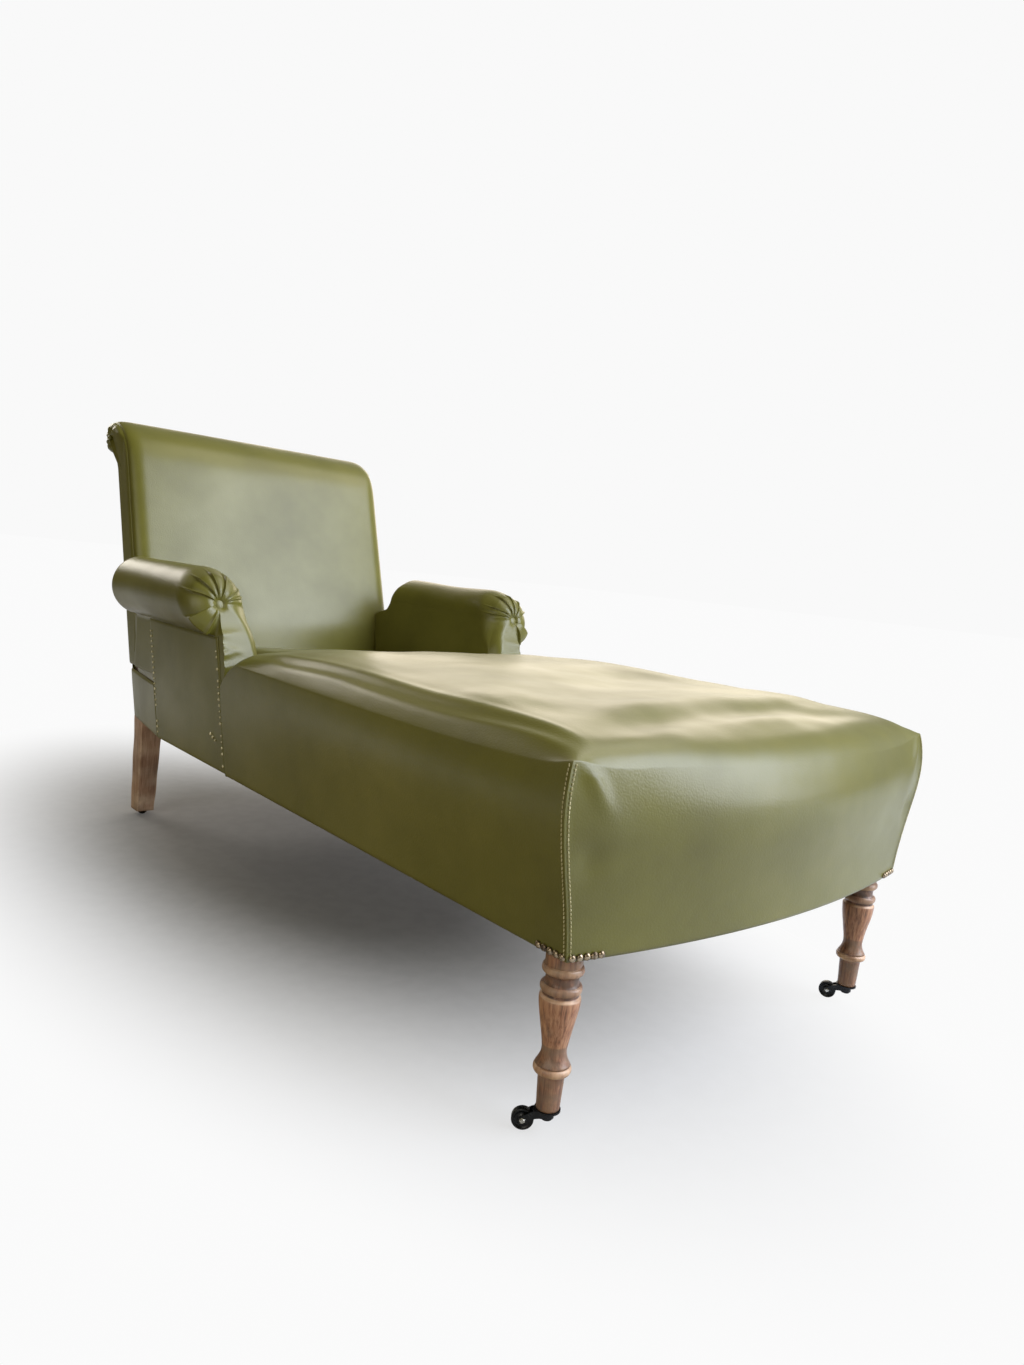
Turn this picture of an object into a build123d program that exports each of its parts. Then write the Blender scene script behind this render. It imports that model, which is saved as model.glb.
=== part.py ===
from build123d import *
import os
from math import acos, asin, atan2, cos, degrees, radians, sin, sqrt, tan

# Chaise longue: a leathercloth seat with a bowed foot end, two roll arms and a raked back with a
# rolled crest, on a timber frame with turned front legs on castors and square rear legs.
# Millimetres. +Z is up, the foot end is at -Y and the head at +Y. The origin is on the floor,
# under the middle of the overall length.

# Cloth, leathercloth and fits
leather = 2.5
soft_gap = 0.4
joint_gap = 0.3
running_gap = 0.05
sheet = 1.0
strap_width = 50
strap_thickness = 1.6

# Seat
seat_half_width = 343
rail_bottom = 212
seat_hem = 210
seat_edge_height = 405
seat_crown_height = 456
seat_run = 1359
bow_depth = 35
foot_bulge = 18
arm_tuck = 4
bow_chords = 8
seat_tuck_height = 326

# Back
back_rake = 18.5
back_set_in = 31
back_depth = 78
back_crown = 12
back_bottom = 326
scroll_radius = 42
scroll_height = 805
scroll_set_back = 92
crest_drop = 31
back_edge = 9
back_shoulder = 40
crest_chords = 4
scroll_chords = 12

# Arms
arm_rake = 17
arm_run = 843
arm_end_gap = 45
arm_clear = 2
panel_rake = 19.5
roll_radius = 58
roll_set_in = 6
roll_height = 498
arm_thickness = 81
rear_end_room = 10
facing_depth = 7
pleats = 10
pleat_groove = 2.2
arm_button_radius = 9.5
button_rise = 4.5
dome_chords = 2
scroll_button_radius = 6
scroll_facing_depth = 8

# Seat frame
rail_thickness = 32
rail_depth = 100
leg_block = 44
leg_set_in = 28
leg_inset = 30
rail_taper_run = 1150
cross_rail_depth = 62
cross_rail_thickness = 28
cross_rail_run = 690
corner_block = 60

# Rear posts and back frame
post_width = 40
post_depth = 34
post_set_in = 4
rear_leg_top = (46, 46)
rear_leg_foot = (38, 40)
rear_leg_splay = 8
scroll_rail_radius = 26
stay_rail_depth = 50

# Arm frame
arm_post_width = 34
arm_post_thickness = 30
arm_rail_width = 34
arm_rail_depth = 36
stump_width = 26
stump_thickness = 28
stump_set_in = 16
arm_rail_rise = 8

# Front leg turning
foot_radius = 13.2
ankle_radius = 15.2
ring_radius = 21.3
neck_radius = 14.2
vase_radius = 23.0
cove_radius = 18.7
bead_radius = 23.0
collar_radius = 20.5
foot_rise = 43
ring_rise = 5
ring_cove = 24
vase_rise = 57
collar_rise = 5
bead_rise = 9
cove_rise = 12
fillet_rise = 1.5

# Castors and glides
wheel_radius = 12.5
wheel_width = 9
wheel_dish = 1.6
wheel_lip = 10
wheel_hub = 5.2
wheel_flat_count = 32
bore_flat_count = 12
castor_trail = 26
castor_height = 28
plate_radius = 14.5
plate_thickness = 2
pintle_radius = 4
pintle_head_radius = 6
pintle_head = 2
boss_radius = 8
boss_depth = 8.2
cheek_thickness = 2
cheek_gap = 0.5
eye_radius = 4.6
axle_radius = 2
axle_head_radius = 3.4
axle_head = 1.4
left_trail_angle = 136
right_trail_angle = 112
glide_radius = 11
glide_flat = 5
glide_height = 10
glide_nail_radius = 2
glide_nail = 18

# Webbing
cross_straps = (-640, -470, -300, -130, 30, 190, 320, 440)
long_straps = (-175, 0, 175)

# Nails at the front corners
nail_radius = 4.3
nail_height = 2.4
nail_pitch = 8.9
nails_each_way = 5
nail_above_hem = 5.5
nail_from_corner = 5.8
nail_flat_count = 8

# Places worked out from the sizes above
back_lean = tan(radians(back_rake))
arm_lean = tan(radians(arm_rake))
scroll_rise = scroll_height - seat_edge_height
scroll_run = scroll_rise * back_lean + scroll_set_back
length = bow_depth + foot_bulge + seat_run + scroll_run + scroll_radius
foot_y = bow_depth + foot_bulge - length / 2
arm_foot_y = foot_y + arm_run
arm_end_run = seat_run - arm_end_gap
arm_end_y = foot_y + arm_end_run
taper_y = foot_y + rail_taper_run
scroll_y = length / 2 - scroll_radius
leg_y = foot_y + leg_inset
leg_x = seat_half_width - leg_set_in
roll_x = seat_half_width - roll_set_in
arm_inner_bottom = seat_half_width - arm_thickness
between_arms = arm_inner_bottom - arm_tuck
back_half_width = seat_half_width - back_set_in
post_inner_x = back_half_width - post_set_in - post_width
rail_top = rail_bottom + rail_depth
rail_outer = seat_half_width - leather - soft_gap
hessian_height = rail_top + 2 * (strap_thickness + joint_gap) + joint_gap
wheel_z = wheel_radius
sides = ((-1, "left"), (1, "right"))


def back_front(z):
    """Y of the inside back at height z, without its crown."""
    return foot_y + seat_run + (z - seat_edge_height) * back_lean


def back_rear(z):
    """Y of the outside back at height z."""
    return back_front(z) + back_depth


def arm_front(z):
    """Y of the arm frame's raked front at height z."""
    return arm_foot_y + (z - rail_bottom) * arm_lean


def save(builder, name):
    """Label a finished piece and write it."""
    builder.part.label = name
    export_step(builder.part, f"parts/{name}.step")


def save_pair(builder, name):
    """Write a right-hand piece, and its mirror image as the left-hand one."""
    save(builder, f"{name}_right")
    with BuildPart() as other:
        add(mirror(builder.part, about=Plane.YZ, mode=Mode.PRIVATE))
    save(other, f"{name}_left")


def save_both(builder, name):
    """Write a right-hand piece and its mirror image together, as one node."""
    with BuildPart() as both:
        add(builder.part)
        add(mirror(builder.part, about=Plane.YZ, mode=Mode.PRIVATE))
    save(both, name)


def chords(centre, radius, start, end, count):
    """Points along an arc in the profile plane, from one angle to another, as straight chords."""
    turns = [radians(start + (end - start) * step / count) for step in range(count + 1)]
    return [(centre[0] + radius * cos(turn), centre[1] + radius * sin(turn)) for turn in turns]


def bow_points(half, front, bow, count):
    """Points along the foot's bow, from the left corner to the right, as straight chords."""
    radius = (half**2 + bow**2) / (2 * bow)
    spread = degrees(asin(half / radius))
    return chords((0, front - bow + radius), radius, -90 - spread, -90 + spread, count)


def bend_points(start, lean, end, count):
    """Points along the arc that leaves start at a lean from upright and ends at end, as straight chords."""
    run = (end[0] - start[0], end[1] - start[1])
    square = (cos(radians(lean)), -sin(radians(lean)))
    radius = (run[0] ** 2 + run[1] ** 2) / (2 * (run[0] * square[0] + run[1] * square[1]))
    centre = (start[0] + radius * square[0], start[1] + radius * square[1])
    finish = degrees(atan2(end[1] - centre[1], end[0] - centre[0]))
    return chords(centre, radius, 180 - lean, finish, count)


os.makedirs("parts", exist_ok=True)

# Seat: level outlines, each T-shaped in plan, with a bowed foot and a narrower run between the arms.
# A level holds its height, how far the sides and foot swell out, the bow, how far the arm line and the
# run between the arms are drawn in, and how far past the arm line the level ends. At 0 it runs to the back.
wall_height = seat_edge_height - seat_hem
crown_height = seat_crown_height - seat_edge_height
seat_levels = (
    (seat_hem, 0, 0, bow_depth, 0, 0, 0),
    (seat_hem + 0.31 * wall_height, 17, 4, bow_depth + 8, 0, 0, 0),
    (seat_hem + 0.7 * wall_height, 28, 6, bow_depth + 12, 0, 0, 0),
    (seat_edge_height, 23, 0, bow_depth + 9, 0, 0, 0),
    (seat_edge_height + 0.35 * crown_height, 14, -12, bow_depth + 4, 30, 13, 18),
    (seat_edge_height + 0.65 * crown_height, 0, -50, bow_depth - 4, 160, 33, 16),
    (seat_edge_height + 0.9 * crown_height, -18, -125, bow_depth - 12, 280, 58, 14),
    (seat_crown_height, -65, -245, bow_depth - 20, 420, 90, 12),
)


def seat_form(inset):
    """The seat's level outlines, set in from its outer face by inset."""
    outlines = []
    facing = arm_foot_y - facing_depth / cos(radians(arm_rake)) - 2 * soft_gap
    for z, side, foot, bow, arm, run, tab in seat_levels:
        half = seat_half_width + side - inset
        half_at_arm = seat_half_width + min(side, 0) - inset
        front = foot_y - foot + inset
        step = facing + (z - rail_bottom) * arm_lean - arm - inset
        inner = between_arms - run - inset
        end = step + tab if tab else back_front(z) - back_crown - 2 * soft_gap - inset
        level = z - inset if z > seat_edge_height else z - 2 * inset * (z == seat_hem)
        with BuildSketch(Plane.XY.offset(level)) as outline:
            with BuildLine():
                Polyline(*bow_points(half, front, bow, bow_chords), (half_at_arm, step), (inner, step),
                         (inner, end), (-inner, end), (-inner, step), (-half_at_arm, step), close=True)
            make_face()
        outlines.append(outline.sketch)
    return outlines


bow_radius = (seat_half_width**2 + bow_depth**2) / (2 * bow_depth)


def bow_y(x, setback):
    """Y of the foot's bow at x, set back from the leathercloth's hem."""
    radius = bow_radius - setback
    return foot_y - bow_depth + bow_radius - sqrt(radius**2 - x**2)


def bowed_plan(half, setback, head):
    """A plan with the foot's bow, set back from the hem, straight sides and a straight head end."""
    corner = bow_y(half, setback)
    with BuildSketch() as plan:
        with BuildLine():
            ThreePointArc((-half, corner), (0, bow_y(0, setback)), (half, corner))
            Polyline((half, corner), (half, head), (-half, head), (-half, corner))
        make_face()
    return plan.sketch


with BuildPart() as seat_cover:
    loft(sections=seat_form(0), ruled=True)
    loft(sections=seat_form(leather), ruled=True, mode=Mode.SUBTRACT)
    # Between the arms the cover is tucked in and ends above the frame
    with BuildSketch(Plane.XY.offset(seat_tuck_height)):
        with Locations((0, arm_foot_y - facing_depth - 2 * leather)):
            Rectangle(2 * (rail_outer + soft_gap), length, align=(Align.CENTER, Align.MIN))
    extrude(amount=-2 * wall_height, mode=Mode.SUBTRACT)
save(seat_cover, "seat_cover")

with BuildPart() as seat_stuffing:
    loft(sections=seat_form(leather + soft_gap), ruled=True)
    split(bisect_by=Plane.XY.offset(rail_bottom), keep=Keep.TOP)
    # Room for the frame, springs and hessian inside the padded wall
    extrude(bowed_plan(rail_outer + soft_gap, leather, length / 2),
            amount=hessian_height + sheet + soft_gap, mode=Mode.SUBTRACT)
save(seat_stuffing, "seat_stuffing")

# Seat frame: rails between the front leg blocks and the raked rear posts
rail_front = leg_y + leg_block / 2
rail_inner = rail_outer - rail_thickness
block_inner = leg_x - leg_block / 2
post_outer_x = post_inner_x + post_width
back_normal = (0, -cos(radians(back_rake)), sin(radians(back_rake)))
back_plane = Plane(origin=(0, back_rear(rail_bottom), rail_bottom), x_dir=(1, 0, 0), z_dir=back_normal)
post_back = leather + joint_gap
post_front = post_back + post_depth


def up_back(z):
    """Distance up the raked back plane to height z."""
    return (z - rail_bottom) / cos(radians(back_rake))


with BuildPart() as side_rail:
    with BuildSketch(Plane.XY.offset(rail_bottom)):
        with BuildLine():
            rail_head = back_rear(rail_top)
            taper = (rail_outer - post_outer_x) / (back_front(rail_top) - taper_y)
            rail_end = rail_outer - (rail_head - taper_y) * taper
            Polyline((rail_inner, rail_front), (rail_outer, rail_front), (rail_outer, taper_y),
                     (rail_end, rail_head), (rail_end - rail_thickness, rail_head), (rail_inner, taper_y),
                     close=True)
        make_face()
    extrude(amount=rail_depth)
    split(bisect_by=back_plane.offset(post_front), keep=Keep.TOP)
save_pair(side_rail, "side_rail")

with BuildPart() as foot_rail:
    rail_face = leather + soft_gap
    rail_rear = rail_face + rail_thickness
    with BuildSketch(Plane.XY.offset(rail_bottom)):
        with BuildLine():
            ThreePointArc((-block_inner, bow_y(block_inner, rail_face)), (0, bow_y(0, rail_face)),
                          (block_inner, bow_y(block_inner, rail_face)))
            Line((block_inner, bow_y(block_inner, rail_face)), (block_inner, bow_y(block_inner, rail_rear)))
            ThreePointArc((block_inner, bow_y(block_inner, rail_rear)), (0, bow_y(0, rail_rear)),
                          (-block_inner, bow_y(block_inner, rail_rear)))
            Line((-block_inner, bow_y(block_inner, rail_rear)), (-block_inner, bow_y(block_inner, rail_face)))
        make_face()
    extrude(amount=rail_depth)
save(foot_rail, "foot_rail")

with BuildPart() as cross_rail:
    with Locations((0, foot_y + cross_rail_run, rail_top)):
        Box(2 * rail_inner, cross_rail_thickness, cross_rail_depth,
            align=(Align.CENTER, Align.CENTER, Align.MAX))
save(cross_rail, "cross_rail")

with BuildPart() as head_rail:
    with BuildSketch(back_plane.offset(post_back)):
        Rectangle(2 * post_inner_x, 2 * up_back(rail_top), align=Align.CENTER)
    extrude(amount=post_depth)
    split(bisect_by=Plane.XY.offset(rail_bottom), keep=Keep.TOP)
    split(bisect_by=Plane.XY.offset(rail_top), keep=Keep.BOTTOM)
save(head_rail, "head_rail")

with BuildPart() as corner_blocks:
    for side, name in sides:
        with BuildSketch(Plane.XY.offset(rail_bottom)):
            with BuildLine():
                reach = block_inner - corner_block
                Polyline((side * rail_inner, rail_front), (side * rail_inner, rail_front + corner_block),
                         (side * reach, bow_y(reach, rail_rear) + joint_gap),
                         (side * block_inner, bow_y(block_inner, rail_rear) + joint_gap),
                         (side * block_inner, rail_front), close=True)
            make_face()
        extrude(amount=rail_depth)
save(corner_blocks, "corner_blocks")

# Rear posts: a raked stile above the seat frame and a tapered square leg below it, in one piece
post_mid_x = post_inner_x + post_width / 2
leg_top_y = back_rear(rail_bottom) - (post_back + post_depth / 2) / cos(radians(back_rake))
leg_foot_y = leg_top_y + rear_leg_splay
with BuildPart() as rear_post:
    with BuildSketch(back_plane.offset(post_back)):
        with Locations((post_inner_x, -post_depth)):
            Rectangle(post_width, up_back(scroll_height) + post_depth, align=Align.MIN)
    extrude(amount=post_depth)
    split(bisect_by=Plane.XY.offset(rail_bottom), keep=Keep.TOP)
    with BuildSketch(Plane.XY.offset(glide_height)):
        with Locations((post_mid_x, leg_foot_y)):
            Rectangle(*rear_leg_foot)
    with BuildSketch(Plane.XY.offset(rail_bottom)):
        with Locations((post_mid_x, leg_top_y)):
            Rectangle(*rear_leg_top)
    loft()
    with Locations((post_mid_x, leg_foot_y, glide_height)):
        Cylinder(glide_nail_radius, glide_nail, align=(Align.CENTER, Align.CENTER, Align.MIN),
                 mode=Mode.SUBTRACT)
save_pair(rear_post, "rear_post")

with BuildPart() as rear_glide:
    with BuildSketch(Plane.XZ):
        with BuildLine():
            Polyline((0, 0), (glide_flat, 0), (glide_radius * 0.86, glide_height * 0.42),
                     (glide_radius, glide_height), (glide_nail_radius, glide_height),
                     (glide_nail_radius, glide_height + glide_nail), (0, glide_height + glide_nail),
                     close=True)
        make_face()
    revolve(axis=Axis.Z)
with BuildPart() as placed_glide:
    with Locations((post_mid_x, leg_foot_y, 0)):
        add(rear_glide.part)
save_both(placed_glide, "rear_glides")

with BuildPart() as stay_rail:
    with BuildSketch(back_plane.offset(post_back)):
        with Locations((0, up_back(back_bottom))):
            Rectangle(2 * post_inner_x, stay_rail_depth, align=(Align.CENTER, Align.MIN))
    extrude(amount=post_depth)
save(stay_rail, "stay_rail")

with BuildPart() as scroll_rail:
    with Locations((0, scroll_y, scroll_height)):
        Cylinder(scroll_rail_radius, 2 * post_outer_x, rotation=(0, 90, 0))
    add(rear_post.part, mode=Mode.SUBTRACT)
    add(mirror(rear_post.part, about=Plane.YZ, mode=Mode.PRIVATE), mode=Mode.SUBTRACT)
save(scroll_rail, "scroll_rail")

# Back upholstery: sections across the back, with a crowned inside, a crest that rolls over into the scroll,
# and set-in edges. The rear is closed by the outside back.
back_stations = (
    (-back_half_width, -back_edge),
    (-back_half_width + back_shoulder, 0.6 * back_crown),
    (0, back_crown),
    (back_half_width - back_shoulder, 0.6 * back_crown),
    (back_half_width, -back_edge),
)
crest_height = scroll_height - crest_drop


def on_scroll(radius, angle):
    """A point on the scroll, in Y and Z, at an angle up from the head end."""
    return (scroll_y + radius * cos(radians(angle)), scroll_height + radius * sin(radians(angle)))


def back_form(inset, open_rear):
    """Sections of the back, set in by inset, with its rear closed or run out behind the outside back."""
    sections = []
    radius = scroll_radius - inset
    behind = 3 * leather if open_rear else 0
    foot = back_bottom - 2 * inset
    under = scroll_height - scroll_radius
    for x, crown in back_stations:
        station = max(-back_half_width + inset, min(x, back_half_width - inset))
        low = (back_front(foot) - crown + inset, foot)
        high = (back_front(crest_height) - crown + inset, crest_height)
        with BuildSketch(Plane.YZ.offset(station)) as section:
            with BuildLine():
                crest = bend_points(high, back_rake, on_scroll(radius, 90), crest_chords)
                scroll = chords((scroll_y, scroll_height), radius, 90, -126, scroll_chords)
                rear = [(back_rear(foot) + behind, foot)]
                if open_rear:
                    rear.insert(0, (back_rear(under) + behind, under))
                Polyline(low, *crest, *scroll[1:], *rear, close=True)
            make_face()
        sections.append(section.sketch)
    return sections


with BuildPart() as back_cover:
    loft(sections=back_form(0, False), ruled=True)
    loft(sections=back_form(leather, True), ruled=True, mode=Mode.SUBTRACT)
save(back_cover, "back_cover")

webbing_depth = post_front + joint_gap
hessian_depth = webbing_depth + 2 * (strap_thickness + joint_gap)
stuffing_depth = hessian_depth + sheet + soft_gap
with BuildPart() as back_stuffing:
    loft(sections=back_form(leather + soft_gap, False), ruled=True)
    # Room for the frame, webbing and hessian behind the stuffing, and for the frame's top in the scroll
    with BuildSketch(back_plane.offset(-post_depth)):
        with Locations((0, -post_depth)):
            Rectangle(3 * back_half_width, up_back(crest_height) + post_depth,
                      align=(Align.CENTER, Align.MIN))
    extrude(amount=post_depth + stuffing_depth, mode=Mode.SUBTRACT)
    with BuildSketch(back_plane):
        for side, name in sides:
            with Locations((side * post_mid_x, 0)):
                Rectangle(post_width + 2 * soft_gap, 2 * up_back(scroll_height + scroll_rail_radius))
    extrude(amount=post_front + soft_gap, mode=Mode.SUBTRACT)
    with Locations((0, scroll_y, scroll_height)):
        Cylinder(scroll_rail_radius + soft_gap, 2 * back_half_width, rotation=(0, 90, 0), mode=Mode.SUBTRACT)
save(back_stuffing, "back_stuffing")

with BuildPart() as outside_back:
    with BuildSketch(back_plane):
        Rectangle(2 * post_outer_x, up_back(scroll_height - scroll_radius), align=(Align.CENTER, Align.MIN))
    extrude(amount=leather)
save(outside_back, "outside_back")

with BuildPart() as back_webbing:
    low = up_back(back_bottom + stay_rail_depth)
    high = up_back(scroll_height - scroll_radius)
    for share in (0.12, 0.37, 0.62, 0.87):
        with BuildSketch(back_plane.offset(webbing_depth)):
            with Locations((0, low + share * (high - low))):
                Rectangle(2 * post_outer_x - leather, strap_width)
        extrude(amount=strap_thickness)
    for x in long_straps:
        with BuildSketch(back_plane.offset(webbing_depth + strap_thickness + joint_gap)):
            with Locations((x, up_back(back_bottom))):
                Rectangle(strap_width, high - up_back(back_bottom), align=(Align.CENTER, Align.MIN))
        extrude(amount=strap_thickness)
save(back_webbing, "back_webbing")

with BuildPart() as back_hessian:
    with BuildSketch(back_plane.offset(hessian_depth)):
        with Locations((0, up_back(back_bottom))):
            Rectangle(2 * post_outer_x - leather, high - up_back(back_bottom),
                      align=(Align.CENTER, Align.MIN))
    extrude(amount=sheet)
save(back_hessian, "back_hessian")

# Arms, drawn right-handed: a leaning inside face, the roll, and an open outer side
arm_bottom = rail_top + arm_clear
arm_normal = (0, -cos(radians(arm_rake)), sin(radians(arm_rake)))
arm_plane = Plane(origin=(0, arm_foot_y, rail_bottom), x_dir=(1, 0, 0), z_dir=arm_normal)


def on_roll(radius, angle):
    """A point on the roll, in X and Z, at an angle up from its outer side."""
    return (roll_x + radius * cos(radians(angle)), roll_height + radius * sin(radians(angle)))


def arm_outline(inset, outer_x, y):
    """The arm's outline across its length, set in by inset, with a straight outer side."""
    radius = roll_radius - inset
    under = -degrees(acos((outer_x - roll_x) / radius))
    foot = arm_bottom - 2 * inset
    with BuildSketch(Plane.XZ.offset(-y)) as outline:
        with BuildLine():
            Line((arm_inner_bottom + inset, foot), on_roll(radius, 180))
            ThreePointArc(on_roll(radius, 180), on_roll(radius, 135), on_roll(radius, 90))
            ThreePointArc(on_roll(radius, 90), on_roll(radius, 45), on_roll(radius, 0))
            ThreePointArc(on_roll(radius, 0), on_roll(radius, under / 2), on_roll(radius, under))
            Polyline(on_roll(radius, under), (outer_x, foot), (arm_inner_bottom + inset, foot))
        make_face()
    return outline.sketch


with BuildPart() as arm_cover:
    extrude(arm_outline(0, seat_half_width, arm_foot_y), amount=arm_foot_y - arm_end_y)
    extrude(arm_outline(leather, seat_half_width, arm_foot_y), amount=arm_foot_y - arm_end_y + leather,
            mode=Mode.SUBTRACT)
    split(bisect_by=arm_plane, keep=Keep.BOTTOM)
    # Below the roll its rear end is cut back to clear the strip at the rear corner
    with Locations((post_outer_x + rear_end_room, arm_end_y - 2 * leather, rail_bottom)):
        Box(roll_radius, 3 * leather, roll_height - roll_radius + leather - rail_bottom, align=Align.MIN,
            mode=Mode.SUBTRACT)
save_pair(arm_cover, "arm_cover")

arm_rail_bottom = roll_height - arm_rail_depth + arm_rail_rise
arm_post_inner = rail_outer - arm_post_width
stump_y = arm_end_y - leather - joint_gap
stump_x = arm_post_inner + (arm_post_width - stump_width) / 2 - stump_set_in
with BuildPart() as arm_stuffing:
    extrude(arm_outline(leather + soft_gap, rail_outer + soft_gap, arm_foot_y),
            amount=arm_foot_y - arm_end_y + leather + soft_gap)
    split(bisect_by=arm_plane, keep=Keep.BOTTOM)
    split(bisect_by=Plane.XY.offset(arm_bottom), keep=Keep.TOP)
    # Hollow behind the outside arm, and a housing for the arm rail
    with Locations((stump_x - soft_gap, arm_foot_y, rail_bottom)):
        Box(rail_outer + 2 * soft_gap - stump_x, length, arm_rail_bottom - rail_bottom, align=Align.MIN,
            mode=Mode.SUBTRACT)
    with Locations((arm_post_inner - soft_gap, arm_foot_y, arm_rail_bottom - soft_gap)):
        Box(arm_rail_width + 2 * soft_gap, length, arm_rail_depth + 2 * soft_gap, align=Align.MIN,
            mode=Mode.SUBTRACT)
save_pair(arm_stuffing, "arm_stuffing")

with BuildPart() as arm_post:
    with BuildSketch(Plane.XY.offset(rail_top)):
        with Locations((arm_post_inner, arm_foot_y)):
            Rectangle(arm_post_width, arm_end_run, align=Align.MIN)
    extrude(amount=arm_rail_bottom - rail_top)
    split(bisect_by=arm_plane, keep=Keep.BOTTOM)
    split(bisect_by=arm_plane.offset(-arm_post_thickness), keep=Keep.TOP)
save_pair(arm_post, "arm_post")

with BuildPart() as arm_stump:
    with Locations((stump_x, stump_y, rail_top)):
        Box(stump_width, stump_thickness, arm_rail_bottom - rail_top, align=(Align.MIN, Align.MAX, Align.MIN))
save_pair(arm_stump, "arm_stump")

with BuildPart() as arm_rail:
    with Locations((arm_post_inner, stump_y, arm_rail_bottom)):
        Box(arm_rail_width, arm_end_run - arm_run, arm_rail_depth, align=(Align.MIN, Align.MAX, Align.MIN))
    split(bisect_by=arm_plane, keep=Keep.BOTTOM)
save_pair(arm_rail, "arm_rail")

# Arm facing: a padded front with pleats that fan out from the button
pleat_cut = pleat_groove * sqrt(2)
facing_face = arm_plane.offset(facing_depth)
roll_up = (roll_height - rail_bottom) / cos(radians(arm_rake)) - facing_depth * arm_lean
roll_front = facing_face.from_local_coords((roll_x, roll_up, 0))
button_plane = Plane(origin=roll_front, x_dir=(1, 0, 0), z_dir=arm_normal)
with BuildPart() as arm_facing:
    extrude(arm_outline(0, rail_outer, arm_foot_y - leg_block), amount=-arm_end_run)
    split(bisect_by=arm_plane.offset(joint_gap), keep=Keep.TOP)
    split(bisect_by=facing_face, keep=Keep.BOTTOM)
    with Locations(button_plane):
        with PolarLocations((roll_radius + arm_button_radius) / 2, pleats):
            Box(roll_radius - arm_button_radius - 2 * pleat_groove, pleat_cut, pleat_cut,
                rotation=(45, 0, 0), mode=Mode.SUBTRACT)
save_pair(arm_facing, "arm_facing")


def dome(radius, rise):
    """A shallow dome, flat at the back, with its axis along Z."""
    ball = (radius**2 + rise**2) / (2 * rise)
    spread = degrees(asin(radius / ball))
    with BuildPart() as cap:
        with BuildSketch(Plane.XZ):
            with BuildLine():
                Polyline((0, 0), *chords((0, rise - ball), ball, 90 - spread, 90, dome_chords), close=True)
            make_face()
        revolve(axis=Axis.Z)
    return cap.part


with BuildPart() as arm_button:
    with Locations(button_plane.offset(joint_gap)):
        add(dome(arm_button_radius, button_rise))
save_both(arm_button, "arm_buttons")

# Outside arm: a flat panel from the arm's front to a raked rear edge, and the strip round the rear corner
panel_rear_lean = tan(radians(panel_rake))
panel_low = rail_bottom + joint_gap
panel_high = on_roll(roll_radius, -degrees(acos((seat_half_width - roll_x) / roll_radius)))[1] - joint_gap
panel_front = arm_foot_y - facing_depth / cos(radians(arm_rake)) - soft_gap


def panel_rear(z):
    """Y of the outside arm's rear edge at height z."""
    return taper_y + (z - rail_bottom) * panel_rear_lean


with BuildPart() as outside_arm:
    with BuildSketch(Plane.YZ.offset(seat_half_width - leather)):
        with BuildLine():
            Polyline((panel_front + (panel_low - rail_bottom) * arm_lean, panel_low),
                     (panel_rear(panel_low), panel_low), (panel_rear(panel_high), panel_high),
                     (panel_front + (panel_high - rail_bottom) * arm_lean, panel_high), close=True)
        make_face()
    extrude(amount=leather)
save_pair(outside_arm, "outside_arm")

with BuildPart() as rear_strip:
    for z in (panel_low, panel_high):
        rear_x = post_outer_x + soft_gap
        with BuildSketch(Plane.XY.offset(z)):
            with BuildLine():
                front_y = panel_rear(z) + joint_gap
                Polyline((seat_half_width, front_y), (rear_x + leather, back_rear(z)), (rear_x, back_rear(z)),
                         (seat_half_width - leather, front_y), close=True)
            make_face()
    loft(ruled=True)
    # The back's own side takes over above the seat frame
    with BuildSketch(Plane.XY.offset(back_bottom - 2 * joint_gap)):
        with Locations((0, back_front(back_bottom))):
            Rectangle(2 * (back_half_width + joint_gap), length, align=(Align.CENTER, Align.MIN))
    extrude(amount=panel_high, mode=Mode.SUBTRACT)
save_pair(rear_strip, "rear_strip")

# Scroll ends: a pleated facing and a small button on each
with BuildPart() as scroll_facing:
    with BuildSketch(Plane.YZ.offset(back_half_width + joint_gap)):
        with Locations((scroll_y, scroll_height)):
            Circle(scroll_radius - joint_gap)
    extrude(amount=scroll_facing_depth)
    chamfer(scroll_facing.faces().sort_by(Axis.X)[-1].edges(), scroll_facing_depth / 2)
    scroll_plane = Plane(origin=(back_half_width + joint_gap + scroll_facing_depth, scroll_y, scroll_height),
                         x_dir=(0, 1, 0), z_dir=(1, 0, 0))
    with Locations(scroll_plane):
        with PolarLocations((scroll_radius + scroll_button_radius) / 2, pleats):
            Box(scroll_radius - scroll_button_radius, pleat_cut, pleat_cut, rotation=(45, 0, 0),
                mode=Mode.SUBTRACT)
save_both(scroll_facing, "scroll_facings")

with BuildPart() as scroll_button:
    with Locations(scroll_plane.offset(joint_gap)):
        add(dome(scroll_button_radius, button_rise))
save_both(scroll_button, "scroll_buttons")

# Webbing across the tops of the rails, hessian over it, and a dust cover below
with BuildPart() as seat_webbing:
    for y in cross_straps:
        with Locations((0, y, rail_top + joint_gap)):
            Box(2 * rail_inner + rail_thickness, strap_width, strap_thickness,
                align=(Align.CENTER, Align.CENTER, Align.MIN))
    for x in long_straps:
        strap_foot = bow_y(x, rail_rear) - rail_thickness / 2
        strap_head = back_rear(rail_top) - post_back - post_depth / 2
        with Locations((x, strap_foot, rail_top + strap_thickness + 2 * joint_gap)):
            Box(strap_width, strap_head - strap_foot, strap_thickness,
                align=(Align.CENTER, Align.MIN, Align.MIN))
save(seat_webbing, "seat_webbing")

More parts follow.
